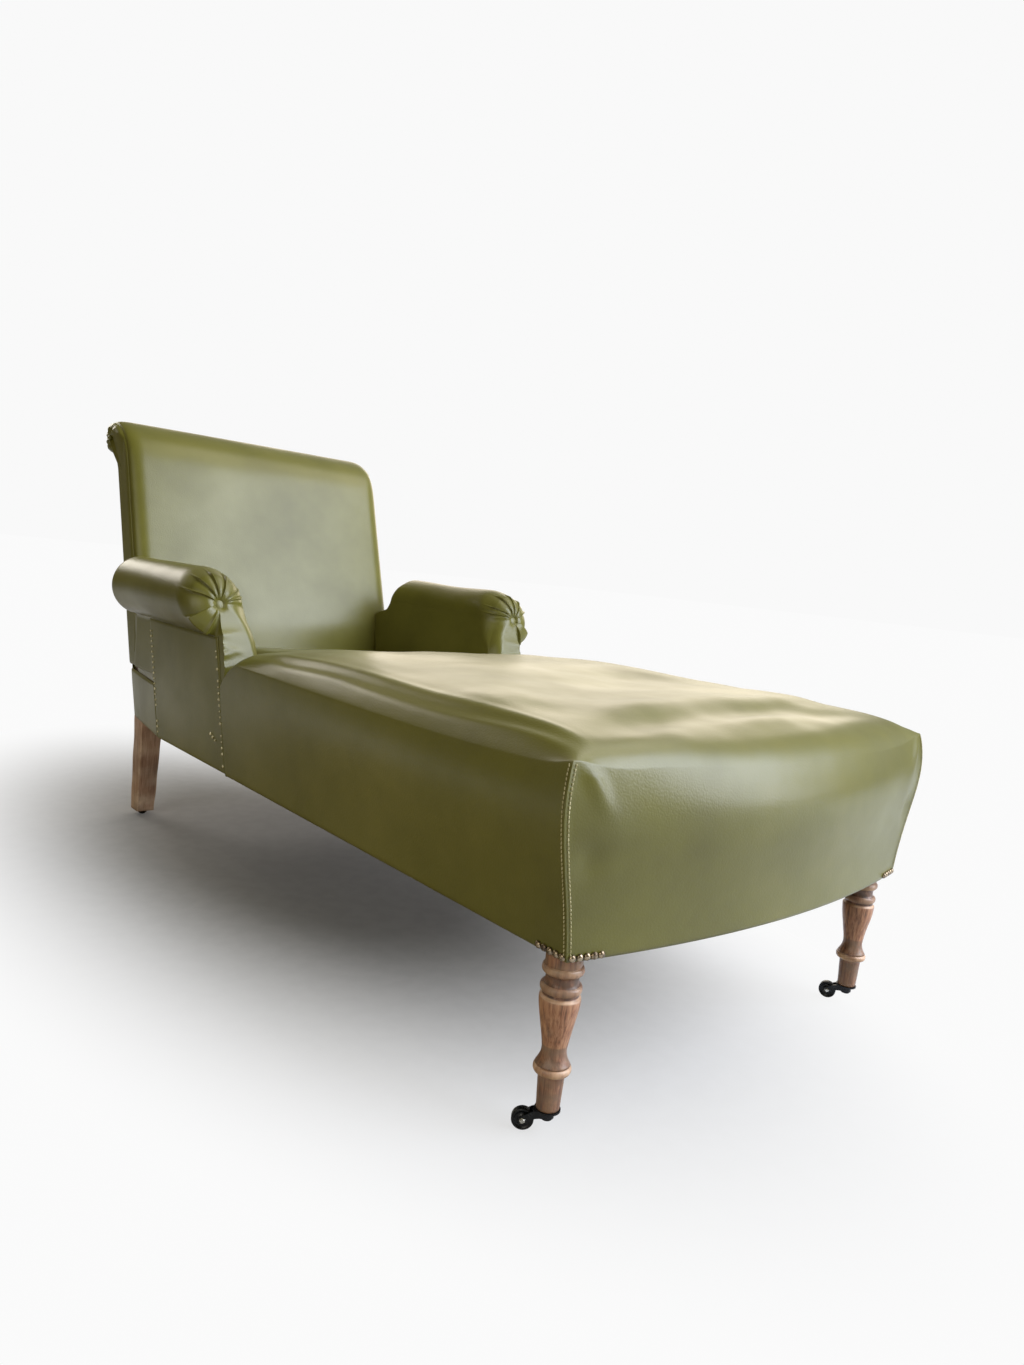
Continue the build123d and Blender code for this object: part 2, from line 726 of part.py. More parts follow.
with BuildPart() as seat_hessian:
    head = back_front(hessian_height) - back_crown - 4 * leather
    arm_line = arm_foot_y - facing_depth - 4 * leather
    side = rail_outer - leather
    run = between_arms - 2 * leather
    with BuildSketch(Plane.XY.offset(hessian_height)):
        with BuildLine():
            corner = bow_y(side, 2 * leather)
            ThreePointArc((-side, corner), (0, bow_y(0, 2 * leather)), (side, corner))
            Polyline((side, corner), (side, arm_line), (run, arm_line), (run, head),
                     (-run, head), (-run, arm_line), (-side, arm_line), (-side, corner))
        make_face()
    extrude(amount=sheet)
save(seat_hessian, "seat_hessian")

dust_top = rail_bottom - joint_gap
with BuildPart() as dust_cover:
    with BuildSketch(Plane.XY.offset(dust_top)):
        add(bowed_plan(post_outer_x, rail_thickness / 2, back_rear(rail_bottom) - post_depth / 2))
        for side, name in sides:
            with Locations((side * leg_x, leg_y)):
                Circle(bead_radius + leather, mode=Mode.SUBTRACT)
            with Locations((side * post_mid_x, leg_top_y)):
                Rectangle(rear_leg_top[0] + 2 * leather, rear_leg_top[1] + 2 * leather, mode=Mode.SUBTRACT)
    extrude(amount=-sheet)
save(dust_cover, "dust_cover")

# Front legs: a square block between the rails above, and below it a vase turning between ring and collar
with BuildPart() as front_leg:
    ankle = castor_height + foot_rise
    ring = ankle + fillet_rise + ring_rise
    neck = ankle + ring_cove + ring_rise
    vase_top = neck + vase_rise
    bead_low = vase_top + collar_rise
    cove_low = bead_low + bead_rise
    bead_high = cove_low + cove_rise
    cap_low = bead_high + bead_rise
    vase_swell = vase_radius - neck_radius
    with BuildSketch(Plane.XZ):
        with BuildLine():
            Polyline((0, castor_height), (foot_radius, castor_height), (ankle_radius, ankle),
                     (ring_radius, ring),
                     (collar_radius, ring + ring_rise), (neck_radius + fillet_rise, neck - 0.45 * ring_cove),
                     (neck_radius, neck), (neck_radius + 0.6 * vase_swell, neck + 0.5 * vase_rise),
                     (vase_radius, vase_top), (collar_radius, bead_low),
                     (bead_radius, bead_low + 0.5 * bead_rise), (collar_radius, cove_low),
                     (cove_radius, cove_low + 0.5 * cove_rise), (collar_radius, bead_high),
                     (bead_radius, bead_high + 0.5 * bead_rise), (collar_radius, cap_low),
                     (collar_radius, rail_bottom), (0, rail_bottom), close=True)
        make_face()
    revolve(axis=Axis.Z)
    with Locations((0, 0, rail_bottom)):
        Box(leg_block, leg_block, rail_depth, align=(Align.CENTER, Align.CENTER, Align.MIN))
with BuildPart() as placed_leg:
    with Locations((leg_x, leg_y, 0)):
        add(front_leg.part)
save_both(placed_leg, "front_legs")

# Castors, drawn about the swivel axis with the wheel trailing along X
plate_bottom = castor_height - plate_thickness
boss_top = plate_bottom - joint_gap
boss_bottom = boss_top - boss_depth
cheek_inner = wheel_width / 2 + cheek_gap
cheek_outer = cheek_inner + cheek_thickness
with BuildPart() as castor_plate:
    with BuildSketch(Plane.XZ):
        with BuildLine():
            head_top = boss_bottom - joint_gap
            head_low = head_top - pintle_head
            Polyline((0, castor_height), (0, head_low), (pintle_head_radius, head_low),
                     (pintle_head_radius, head_top), (pintle_radius, head_top), (pintle_radius, plate_bottom),
                     (plate_radius, plate_bottom), (plate_radius, castor_height), close=True)
        make_face()
    revolve(axis=Axis.Z)

with BuildPart() as castor_horn:
    with Locations((0, 0, boss_bottom)):
        Cylinder(boss_radius, boss_depth, align=(Align.CENTER, Align.CENTER, Align.MIN))
    for side, name in sides:
        with BuildSketch(Plane.XZ.offset(side * (cheek_inner + cheek_thickness / 2))):
            with BuildLine():
                eye_top = (castor_trail + 0.54 * eye_radius, wheel_z + 0.84 * eye_radius)
                eye_low = (castor_trail - 0.54 * eye_radius, wheel_z - 0.84 * eye_radius)
                Polyline((0, boss_bottom), (0, boss_top), (boss_radius, boss_top),
                         (0.48 * castor_trail, boss_top - 0.06 * boss_depth),
                         (0.66 * castor_trail, boss_top - 0.25 * boss_depth),
                         (0.86 * castor_trail, boss_top - 0.65 * boss_depth), eye_top, eye_low,
                         (0.64 * castor_trail, wheel_z + 0.3 * eye_radius),
                         (0.48 * castor_trail, wheel_z + 0.9 * eye_radius), (boss_radius, boss_bottom),
                         close=True)
            make_face()
            with Locations((castor_trail, wheel_z)):
                RegularPolygon(eye_radius, bore_flat_count)
                RegularPolygon(axle_radius + running_gap, bore_flat_count, major_radius=False,
                               mode=Mode.SUBTRACT)
        extrude(amount=cheek_thickness / 2, both=True)
    with Locations((0, 0, boss_bottom)):
        Cylinder(pintle_radius + running_gap, boss_depth, align=(Align.CENTER, Align.CENTER, Align.MIN),
                 mode=Mode.SUBTRACT)

with BuildPart() as castor_axle:
    shank = cheek_outer + joint_gap
    with BuildSketch(Plane.XZ):
        RegularPolygon(axle_radius, bore_flat_count)
    extrude(amount=shank, both=True)
    # Riveted over at both ends
    for side, name in sides:
        for y, radius in ((side * shank, axle_head_radius), (side * (shank + axle_head), axle_radius)):
            with BuildSketch(Plane.XZ.offset(y)):
                RegularPolygon(radius, bore_flat_count)
        loft(ruled=True)

with BuildPart() as castor_wheel:
    # Turned in small flats, dished on both sides between the hub and the lip
    with BuildSketch(Plane.XZ):
        RegularPolygon(wheel_radius, wheel_flat_count)
        RegularPolygon(axle_radius + running_gap, bore_flat_count, major_radius=False, mode=Mode.SUBTRACT)
    extrude(amount=wheel_width / 2, both=True)
    ends = castor_wheel.faces().filter_by(Axis.Y)
    chamfer([edge for end in ends for edge in end.outer_wire().edges()], wheel_dish)
    for side, name in sides:
        with BuildSketch(Plane.XZ.offset(side * wheel_width / 2)):
            RegularPolygon(wheel_lip, wheel_flat_count)
            RegularPolygon(wheel_hub, wheel_flat_count, mode=Mode.SUBTRACT)
        extrude(amount=-side * wheel_dish, mode=Mode.SUBTRACT)

with BuildPart() as placed_plate:
    with Locations((leg_x, leg_y, 0)):
        add(castor_plate.part)
save_both(placed_plate, "castor_plates")

for (side, name), angle in zip(sides, (left_trail_angle, right_trail_angle)):
    along = (cos(radians(angle)), sin(radians(angle)), 0)
    swivel = Plane(origin=(side * leg_x, leg_y, 0), x_dir=along, z_dir=(0, 0, 1))
    hub_centre = swivel.from_local_coords((castor_trail, 0, wheel_z))
    hub_plane = Plane(origin=hub_centre, x_dir=along, z_dir=(0, 0, 1))
    for piece, label, place in ((castor_horn, "horn", swivel), (castor_axle, "axle", hub_plane),
                                (castor_wheel, "wheel", hub_plane)):
        with BuildPart() as placed_piece:
            with Locations(place):
                add(piece.part)
        save(placed_piece, f"castor_{label}_{name}")

# Dome nails along the hem at the front corners, square to the leathercloth
def nail_head():
    """A dome nail's head in small flats, flat at the back, with its axis along Z."""
    with BuildPart() as head:
        for rise, share in ((0, 1), (0.6, 0.8), (1, 0.3)):
            with BuildSketch(Plane.XY.offset(rise * nail_height)):
                RegularPolygon(share * nail_radius, nail_flat_count)
        loft(ruled=True)
    return head.part


with BuildPart() as corner_nails:
    wall_lean = seat_levels[1][1] / (seat_levels[1][0] - seat_hem)
    foot_lean = seat_levels[1][2] / (seat_levels[1][0] - seat_hem)
    for side, name in sides:
        for count in range(nails_each_way):
            step = nail_from_corner + count * nail_pitch
            z = seat_hem + nail_above_hem
            flank = (side * (seat_half_width + wall_lean * nail_above_hem), foot_y + step, z)
            flank_normal = (side, 0, -wall_lean)
            bow_x = side * (seat_half_width - step)
            turn = asin(bow_x / bow_radius)
            front = (bow_x, bow_y(bow_x, 0) - 2 * foot_lean * nail_above_hem, z)
            front_normal = (sin(turn), -cos(turn), -2 * foot_lean)
            for point, normal in ((flank, flank_normal), (front, front_normal)):
                with Locations(Plane(origin=point, z_dir=normal).offset(joint_gap)):
                    add(nail_head())
save(corner_nails, "corner_nails")
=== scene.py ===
"""Chaise longue in olive leathercloth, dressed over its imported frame.

Metres, +Z up. The foot end is at -Y, the head at +Y, and the sitter's right-hand arm is at -X.
"""

import logging
import math
from dataclasses import dataclass
from enum import Enum

import bmesh
import bpy
import numpy as np
from mathutils import Matrix, Vector


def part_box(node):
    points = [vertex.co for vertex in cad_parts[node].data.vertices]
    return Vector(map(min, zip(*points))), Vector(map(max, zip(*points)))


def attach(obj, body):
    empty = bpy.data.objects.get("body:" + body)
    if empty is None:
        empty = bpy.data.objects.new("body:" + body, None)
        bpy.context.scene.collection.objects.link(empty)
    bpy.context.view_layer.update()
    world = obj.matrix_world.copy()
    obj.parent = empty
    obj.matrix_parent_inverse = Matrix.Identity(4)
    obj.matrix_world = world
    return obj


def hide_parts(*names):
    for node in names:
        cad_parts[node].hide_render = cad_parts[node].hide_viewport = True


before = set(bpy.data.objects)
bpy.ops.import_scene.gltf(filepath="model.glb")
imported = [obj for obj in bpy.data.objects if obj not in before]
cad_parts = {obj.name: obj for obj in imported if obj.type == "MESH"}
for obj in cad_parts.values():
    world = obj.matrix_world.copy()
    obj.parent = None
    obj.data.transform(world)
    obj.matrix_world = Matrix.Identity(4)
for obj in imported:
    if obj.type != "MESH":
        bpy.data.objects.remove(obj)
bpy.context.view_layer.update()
log = logging.getLogger("chaise")

QUARTER_TURN = math.pi / 2
HALF_TURN = math.pi
FULL_TURN = 2 * math.pi


class Side(Enum):
    """The two sides of the chaise, as the sign of X."""

    LEFT = -1
    RIGHT = 1

    @property
    def label(self) -> str:
        """The side's name as the frame spells it."""
        return self.name.lower()


# Colour, nodes and small sums


def linear(code: str) -> tuple[float, float, float, float]:
    """Turn an sRGB hex colour into linear RGBA.

    Args:
        code: Six hex digits after a hash.

    Returns:
        Linear red, green and blue, with alpha 1.
    """
    values = [int(code[i:i + 2], 16) / 255 for i in (1, 3, 5)]
    return (*[v / 12.92 if v <= 0.04045 else ((v + 0.055) / 1.055) ** 2.4 for v in values], 1.0)


def add(tree: bpy.types.NodeTree, kind: str, values: dict | None = None, links: dict | None = None,
        **settings: object) -> bpy.types.Node:
    """Add one node with its settings, values and links.

    Args:
        tree: The tree that takes the node.
        kind: The node's type name.
        values: Input socket to constant.
        links: Input socket to the output socket that feeds it.
        **settings: Properties of the node itself.

    Returns:
        The new node.
    """
    node = tree.nodes.new(kind)
    for key, value in settings.items():
        setattr(node, key, value)
    for key, value in (values or {}).items():
        node.inputs[key].default_value = value
    for key, output in (links or {}).items():
        tree.links.new(output, node.inputs[key])
    return node


def ramp(tree: bpy.types.NodeTree, factor: bpy.types.NodeSocket,
         stops: list[tuple[float, str]]) -> bpy.types.NodeSocket:
    """Colour a factor through stops of position and hex colour.

    Args:
        tree: The material's tree.
        factor: The socket that drives the ramp.
        stops: Positions and hex colours, in order.

    Returns:
        The ramp's colour output.
    """
    node = add(tree, "ShaderNodeValToRGB", links={"Fac": factor})
    band = node.color_ramp
    while len(band.elements) < len(stops):
        band.elements.new(0.5)
    for element, (place, code) in zip(band.elements, stops):
        element.position = place
        element.color = linear(code)
    return node.outputs["Color"]


def per_metre(size_mm: float) -> float:
    """Texture scale that gives features of a size in millimetres."""
    return 1000 / size_mm


def noise(tree: bpy.types.NodeTree, place: bpy.types.NodeSocket, size_mm: float, detail: float = 2.0,
          **values: float) -> bpy.types.NodeSocket:
    """Cloudy noise.

    Args:
        tree: The material's tree.
        place: Coordinates.
        size_mm: Size of its features.
        detail: Its octaves.
        **values: Other inputs, by name.

    Returns:
        A value of about 0 to 1.
    """
    node = add(tree, "ShaderNodeTexNoise", {"Scale": per_metre(size_mm), "Detail": detail, **values},
               {"Vector": place})
    return node.outputs["Fac"]


def ranged(tree: bpy.types.NodeTree, value: bpy.types.NodeSocket, given: tuple[float, float],
           wanted: tuple[float, float], **settings: str) -> bpy.types.NodeSocket:
    """Carry a value from one range to another.

    Args:
        tree: The tree that takes the node.
        value: The value to carry over.
        given: Its own range.
        wanted: The new range.
        **settings: Properties of the node itself.

    Returns:
        The value in its new range, held inside it.
    """
    node = add(tree, "ShaderNodeMapRange", {"From Min": given[0], "From Max": given[1], "To Min": wanted[0],
                                            "To Max": wanted[1]}, {"Value": value}, **settings)
    return node.outputs["Result"]


def times(tree: bpy.types.NodeTree, first: bpy.types.NodeSocket, second: bpy.types.NodeSocket,
          **settings: bool) -> bpy.types.NodeSocket:
    """Multiply two values."""
    return add(tree, "ShaderNodeMath", links={0: first, 1: second}, operation="MULTIPLY", **settings).outputs[0]


def blended(tree: bpy.types.NodeTree, share: bpy.types.NodeSocket, *colours: object) -> bpy.types.NodeSocket:
    """Mix two colours.

    Args:
        tree: The tree that takes the node.
        share: 0 for the first colour to 1 for the second.
        *colours: The two, each a socket or linear RGBA.

    Returns:
        The mixed colour.
    """
    node = add(tree, "ShaderNodeMix", links={"Factor": share}, data_type="RGBA")
    for socket, colour in zip((node.inputs[6], node.inputs[7]), colours):
        if isinstance(colour, tuple):
            socket.default_value = colour
        else:
            tree.links.new(colour, socket)
    return node.outputs[2]


def bumped(tree: bpy.types.NodeTree, height: bpy.types.NodeSocket, strength: float, depth_mm: float,
           links: dict | None = None, **settings: bool) -> bpy.types.NodeSocket:
    """Raise a surface by a height.

    Args:
        tree: The material's tree.
        height: The height, 0 to 1.
        strength: How much of it shows.
        depth_mm: How deep 1 is.
        links: Other inputs, by name.
        **settings: Properties of the node itself.

    Returns:
        The bumped normal.
    """
    node = add(tree, "ShaderNodeBump", {"Strength": strength, "Distance": depth_mm / 1000},
               {"Height": height, **(links or {})}, **settings)
    return node.outputs["Normal"]


def quarter_round(distance: np.ndarray, radius: float) -> np.ndarray:
    """Rise from 0 at an edge to 1 a radius in, round as a quarter ellipse."""
    reach = np.clip(1 - distance / radius, 0, 1)
    return np.sqrt(1 - reach * reach)


def soft_edge(distance: np.ndarray, tight: float, slack: np.ndarray | float) -> np.ndarray:
    """Rise from 0 at an edge to 1, half of it over a tight run and half over a slack one."""
    return 1 - 0.5 * np.exp(-distance / tight) - 0.5 * np.exp(-distance / slack)


def bell(offset: np.ndarray, width: float) -> np.ndarray:
    """A soft bump of 1 that falls away over a width."""
    return np.exp(-(offset / width) ** 2)


def smooth_step(value: np.ndarray, low: float, high: float) -> np.ndarray:
    """Ease from 0 at low to 1 at high."""
    t = np.clip((value - low) / (high - low), 0, 1)
    return t * t * (3 - 2 * t)


def eased(count: int) -> np.ndarray:
    """Places from 0 to 1, closer together at both ends."""
    return 0.5 - 0.5 * np.cos(np.linspace(0, 1, count) * HALF_TURN)


def spread(count: int) -> np.ndarray:
    """Places from -1 to 1, closer together at both ends."""
    return np.sin(np.linspace(-1, 1, count) * QUARTER_TURN)


def undulation(points: np.ndarray, wave: float, seed: int) -> np.ndarray:
    """Soft irregular waves, the same on each run.

    Args:
        points: Places, with XYZ on the last axis.
        wave: Typical wavelength in metres.
        seed: Picks the waves.

    Returns:
        Heights of about -1 to 1.
    """
    chooser = np.random.default_rng(seed)
    total = np.zeros(points.shape[:-1])
    for _ in range(6):
        heading = chooser.normal(size=3)
        heading /= np.linalg.norm(heading)
        turns = FULL_TURN / (wave * chooser.uniform(0.7, 1.5))
        total += np.sin(points @ heading * turns + chooser.uniform(0, FULL_TURN))
    return total / 3


def bezier(start: np.ndarray, leave: np.ndarray, arrive: np.ndarray, end: np.ndarray, count: int) -> np.ndarray:
    """Points along one cubic curve.

    Args:
        start: First end.
        leave: First handle.
        arrive: Second handle.
        end: Last end.
        count: Number of points, both ends included.

    Returns:
        The points, one a row.
    """
    t = np.linspace(0, 1, count)[:, None]
    return (1 - t) ** 3 * start + 3 * (1 - t) ** 2 * t * leave + 3 * (1 - t) * t * t * arrive + t ** 3 * end


# Finishes


class Finish:
    """A material that is made once and handed out after that."""

    name: str

    def material(self) -> bpy.types.Material:
        """The finish as a Blender material."""
        found = bpy.data.materials.get(self.name)
        if found:
            return found
        made = bpy.data.materials.new(self.name)
        made.use_nodes = True
        tree = made.node_tree
        self.shade(tree, tree.nodes["Principled BSDF"], add(tree, "ShaderNodeTexCoord").outputs["Object"])
        return made

    def shade(self, tree: bpy.types.NodeTree, shader: bpy.types.Node, place: bpy.types.NodeSocket) -> None:
        """Wire the finish into its shader.

        Args:
            tree: The material's tree.
            shader: Its Principled BSDF.
            place: Object coordinates.
        """
        raise NotImplementedError


@dataclass(frozen=True)
class Leathercloth(Finish):
    """Cotton cloth with a calendered vinyl face: semi-gloss, pebbled, its olive rubbed paler in soft clouds."""

    name: str = "leathercloth_olive"
    shaded: str = "#5A571F"
    colour: str = "#656225"
    rubbed: str = "#706C2F"
    cloud_mm: float = 240
    crease_mm: float = 42
    # The real pebble is under a millimetre; it is drawn coarser so that it shows
    pebble_mm: float = 2.3
    pebble_depth_mm: float = 0.24
    crease_depth_mm: float = 0.9
    roughness: tuple[float, float] = (0.31, 0.39)
    specular: float = 0.5

    def shade(self, tree: bpy.types.NodeTree, shader: bpy.types.Node, place: bpy.types.NodeSocket) -> None:
        """Cloudy colour, pebble over soft creases, and gloss that follows the rubbing."""
        cloud = noise(tree, place, self.cloud_mm, 4.0, Roughness=0.6)
        tree.links.new(ramp(tree, cloud, [(0.3, self.shaded), (0.5, self.colour), (0.72, self.rubbed)]),
                       shader.inputs["Base Color"])
        tree.links.new(ranged(tree, cloud, (0.35, 0.65), self.roughness[::-1]), shader.inputs["Roughness"])
        soft = bumped(tree, noise(tree, place, self.crease_mm), 0.25, self.crease_depth_mm)
        pebble = add(tree, "ShaderNodeTexVoronoi", {"Scale": per_metre(self.pebble_mm)}, {"Vector": place},
                     feature="SMOOTH_F1").outputs["Distance"]
        grain = bumped(tree, pebble, 0.6, self.pebble_depth_mm, {"Normal": soft}, invert=True)
        tree.links.new(grain, shader.inputs["Normal"])
        shader.inputs["IOR"].default_value = 1.5
        shader.inputs["Specular IOR Level"].default_value = self.specular


@dataclass(frozen=True)
class GrainedWood(Finish):
    """Wood with its grain up the piece: streaks, a worn varnish, and a darker colour where one is asked for:
    stain, and in the turned legs' recesses painted shade as well.

    The darkening and wear attributes run from 0 to 1; a piece without them shows plain wood.
    """

    name: str
    pale: str
    colour: str
    streak: str
    # Dark colour for stain, and on the turned legs for painted shade in the recesses
    stain_and_shade_colour: str
    worn: str
    streak_mm: float = 3.5
    stretch: float = 0.06
    grime_mm: float = 9
    grain_depth_mm: float = 0.6
    roughness: tuple[float, float] = (0.38, 0.6)

    def shade(self, tree: bpy.types.NodeTree, shader: bpy.types.Node, place: bpy.types.NodeSocket) -> None:
        """Streaks along Z, then the darker colour where asked, stain with painted shade in the recesses, then
        bare wood on the rubbed edges.
        """
        along = add(tree, "ShaderNodeMapping", {"Scale": (1.0, 1.0, self.stretch)}, {"Vector": place})
        streaks = noise(tree, along.outputs["Vector"], self.streak_mm, 5.0, Roughness=0.65, Distortion=0.4)
        wood = ramp(tree, streaks, [(0.3, self.streak), (0.48, self.colour), (0.7, self.pale)])
        grime = noise(tree, place, self.grime_mm, 4.0)
        # The darkening attribute: stain, and on the turned legs painted shade and a painted highlight
        stain = add(tree, "ShaderNodeAttribute", attribute_name="stain").outputs["Fac"]
        depth = times(tree, stain, ranged(tree, grime, (0.3, 0.6), (0.55, 1.0)))
        dark = blended(tree, depth, wood, linear(self.stain_and_shade_colour))
        wear = add(tree, "ShaderNodeAttribute", attribute_name="wear").outputs["Fac"]
        rubbed = add(tree, "ShaderNodeMath", {1: 1.35}, {0: wear}, operation="MULTIPLY").outputs[0]
        scuffed = times(tree, rubbed, grime, use_clamp=True)
        tree.links.new(blended(tree, scuffed, dark, linear(self.worn)), shader.inputs["Base Color"])
        tree.links.new(ranged(tree, grime, (0.3, 0.7), self.roughness), shader.inputs["Roughness"])
        tree.links.new(bumped(tree, streaks, 0.35, self.grain_depth_mm), shader.inputs["Normal"])
        shader.inputs["IOR"].default_value = 1.5


@dataclass(frozen=True)
class MetalFinish(Finish):
    """A metal, or a metal under black japan: fine scratches in the gloss and grime in its colour."""

    name: str
    colour: str
    tarnish: str
    metallic: float
    roughness: tuple[float, float]
    patch_mm: float = 7

    def shade(self, tree: bpy.types.NodeTree, shader: bpy.types.Node, place: bpy.types.NodeSocket) -> None:
        """Patchy tarnish in colour and gloss."""
        patch = noise(tree, place, self.patch_mm, 5.0)
        colour = ramp(tree, patch, [(0.35, self.tarnish), (0.6, self.colour)])
        tree.links.new(colour, shader.inputs["Base Color"])
        tree.links.new(ranged(tree, patch, (0.35, 0.65), self.roughness[::-1]), shader.inputs["Roughness"])
        shader.inputs["Metallic"].default_value = self.metallic


@dataclass(frozen=True)
class WovenCloth(Finish):
    """A plain weave: two sets of threads, matt."""

    name: str
    colour: str
    thread: str
    # Real threads are about half a millimetre apart; drawn coarser so that they show
    thread_mm: float = 1.6
    thread_depth_mm: float = 0.4
    roughness: float = 0.92

    def shade(self, tree: bpy.types.NodeTree, shader: bpy.types.Node, place: bpy.types.NodeSocket) -> None:
        """Warp and weft as two crossed waves, in colour and bump."""
        scale = per_metre(self.thread_mm) / FULL_TURN
        warp, weft = (add(tree, "ShaderNodeTexWave", {"Scale": scale, "Distortion": 0.6}, {"Vector": place},
                          bands_direction=way).outputs["Fac"] for way in ("X", "Y"))
        weave = times(tree, warp, weft)
        tree.links.new(ramp(tree, weave, [(0.1, self.colour), (0.8, self.thread)]), shader.inputs["Base Color"])
        tree.links.new(bumped(tree, weave, 0.5, self.thread_depth_mm), shader.inputs["Normal"])
        shader.inputs["Roughness"].default_value = self.roughness


LEATHER = Leathercloth()
TURNED_WOOD = GrainedWood("walnut_turned", "#CFA07C", "#A26F52", "#472B20", "#46372F", "#DDB999",
                          roughness=(0.28, 0.46))
BARE_WOOD = GrainedWood("beech_worn", "#C9A790", "#A6826D", "#745646", "#5F493E", "#DDC4AE", stretch=0.05)
FRAME_WOOD = GrainedWood("beech_sawn", "#C7A27A", "#B28A60", "#8D6843", "#7A5A3C", "#D6BC98")
BLACK_IRON = MetalFinish("iron_japanned", "#141518", "#060607", 0.35, (0.24, 0.42))
STEEL = MetalFinish("steel_bright", "#C4C1B8", "#8C887E", 1.0, (0.2, 0.38))
BRASS = MetalFinish("brass_antique", "#A8967C", "#4C4036", 1.0, (0.24, 0.4))
# Pale and barely metallic, so that the pins show bright in any light: a painted glint over their pale tin
PIN_GLINT_METAL = MetalFinish("tinned_pins_glint", "#EFE8C8", "#C2BA94", 0.25, (0.25, 0.4))
THREAD = WovenCloth("thread_linen", "#B3AB84", "#D8D1AC")
DUST_CLOTH = WovenCloth("dust_cloth", "#2B2823", "#45403A")


# Meshes


class Patchwork:
    """Grids of points that are sewn into one mesh."""

    def __init__(self, name: str) -> None:
        """Start empty.

        Args:
            name: The piece's name.
        """
        self.name = name
        self.points: list[np.ndarray] = []
        self.quads: list[tuple[int, ...]] = []
        self.marks: dict[str, list[np.ndarray]] = {}
        self.total = 0

    def patch(self, grid: np.ndarray, around: bool = False, **marks: np.ndarray) -> None:
        """Add a grid of points.

        Args:
            grid: Rows and columns of XYZ.
            around: Join the last column to the first.
            **marks: Values for the finish, one a point, by attribute name.
        """
        rows, columns = grid.shape[:2]
        reach = columns if around else columns - 1
        for r in range(rows - 1):
            for c in range(reach):
                d = (c + 1) % columns
                corners = (r * columns + c, r * columns + d, (r + 1) * columns + d, (r + 1) * columns + c)
                self.quads.append(tuple(self.total + k for k in corners))
        self.points.append(grid.reshape(-1, 3))
        for key, value in marks.items():
            self.marks.setdefault(key, []).append(np.broadcast_to(value, grid.shape[:2]).reshape(-1))
        self.total += rows * columns

    def piece(self, finish: Finish, inside: tuple[float, float, float] | None = None, smooth: int = 0,
              weld: float = 0.0001) -> bpy.types.Object:
        """Sew the patches into an object.

        Args:
            finish: What it is covered in.
            inside: A point behind the surface, for an open shell.
            smooth: Rounds of light smoothing, edges left alone.
            weld: How near two points are one.

        Returns:
            The finished object, smooth shaded.
        """
        mesh = bpy.data.meshes.new(self.name)
        mesh.from_pydata(np.concatenate(self.points).tolist(), [], self.quads)
        for key, values in self.marks.items():
            layer = mesh.attributes.new(key, "FLOAT", "POINT")
            layer.data.foreach_set("value", np.concatenate(values).astype(np.float32))
        work = bmesh.new()
        work.from_mesh(mesh)
        bmesh.ops.remove_doubles(work, verts=work.verts, dist=weld)
        bmesh.ops.dissolve_degenerate(work, edges=work.edges, dist=weld / 4)
        bmesh.ops.recalc_face_normals(work, faces=work.faces)
        if inside is not None:
            centre = Vector(inside)
            outward = sum(f.calc_area() * f.normal.dot((f.calc_center_median() - centre).normalized())
                          for f in work.faces)
            if outward < 0:
                bmesh.ops.reverse_faces(work, faces=work.faces)
        loose = [v for v in work.verts if not v.is_boundary]
        for _ in range(smooth):
            bmesh.ops.smooth_vert(work, verts=loose, factor=0.5, use_axis_x=True, use_axis_y=True,
                                  use_axis_z=True)
        work.to_mesh(mesh)
        work.free()
        mesh.polygons.foreach_set("use_smooth", [True] * len(mesh.polygons))
        mesh.materials.append(finish.material())
        made = bpy.data.objects.new(self.name, mesh)
        bpy.context.scene.collection.objects.link(made)
        return made


def lathe(outline: np.ndarray, count: int, centre: tuple[float, float, float] = (0, 0, 0)) -> np.ndarray:
    """Turn an outline about a vertical axis.

    Args:
        outline: Radius and height, one pair a row.
        count: Points round the axis.
        centre: Where the axis meets height 0.

    Returns:
        A grid that closes round its columns.
    """
    angles = np.linspace(0, FULL_TURN, count, endpoint=False)
    grid = np.empty((len(outline), count, 3))
    grid[..., 0] = centre[0] + outline[:, :1] * np.cos(angles)
    grid[..., 1] = centre[1] + outline[:, :1] * np.sin(angles)
    grid[..., 2] = centre[2] + outline[:, 1:]
    return grid


def turned(grid: np.ndarray, matrix: Matrix) -> np.ndarray:
    """Move a grid by a matrix."""
    values = np.array(matrix)
    return grid @ values[:3, :3].T + values[:3, 3]


def declare(piece: bpy.types.Object, slot: str, *nodes: str, body: str = "frame") -> bpy.types.Object:
    """Hang a piece on the frame.

    Args:
        piece: The finished piece.
        slot: The record's material slot; not used.
        *nodes: The frame nodes that it stands for.
        body: The body that it moves with.

    Returns:
        The same piece.
    """
    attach(piece, body)
    if nodes:
        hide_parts(*nodes)
    log.info("%s: %d faces", piece.name, len(piece.data.polygons))
    return piece


# Rows of nails, pins and stitches


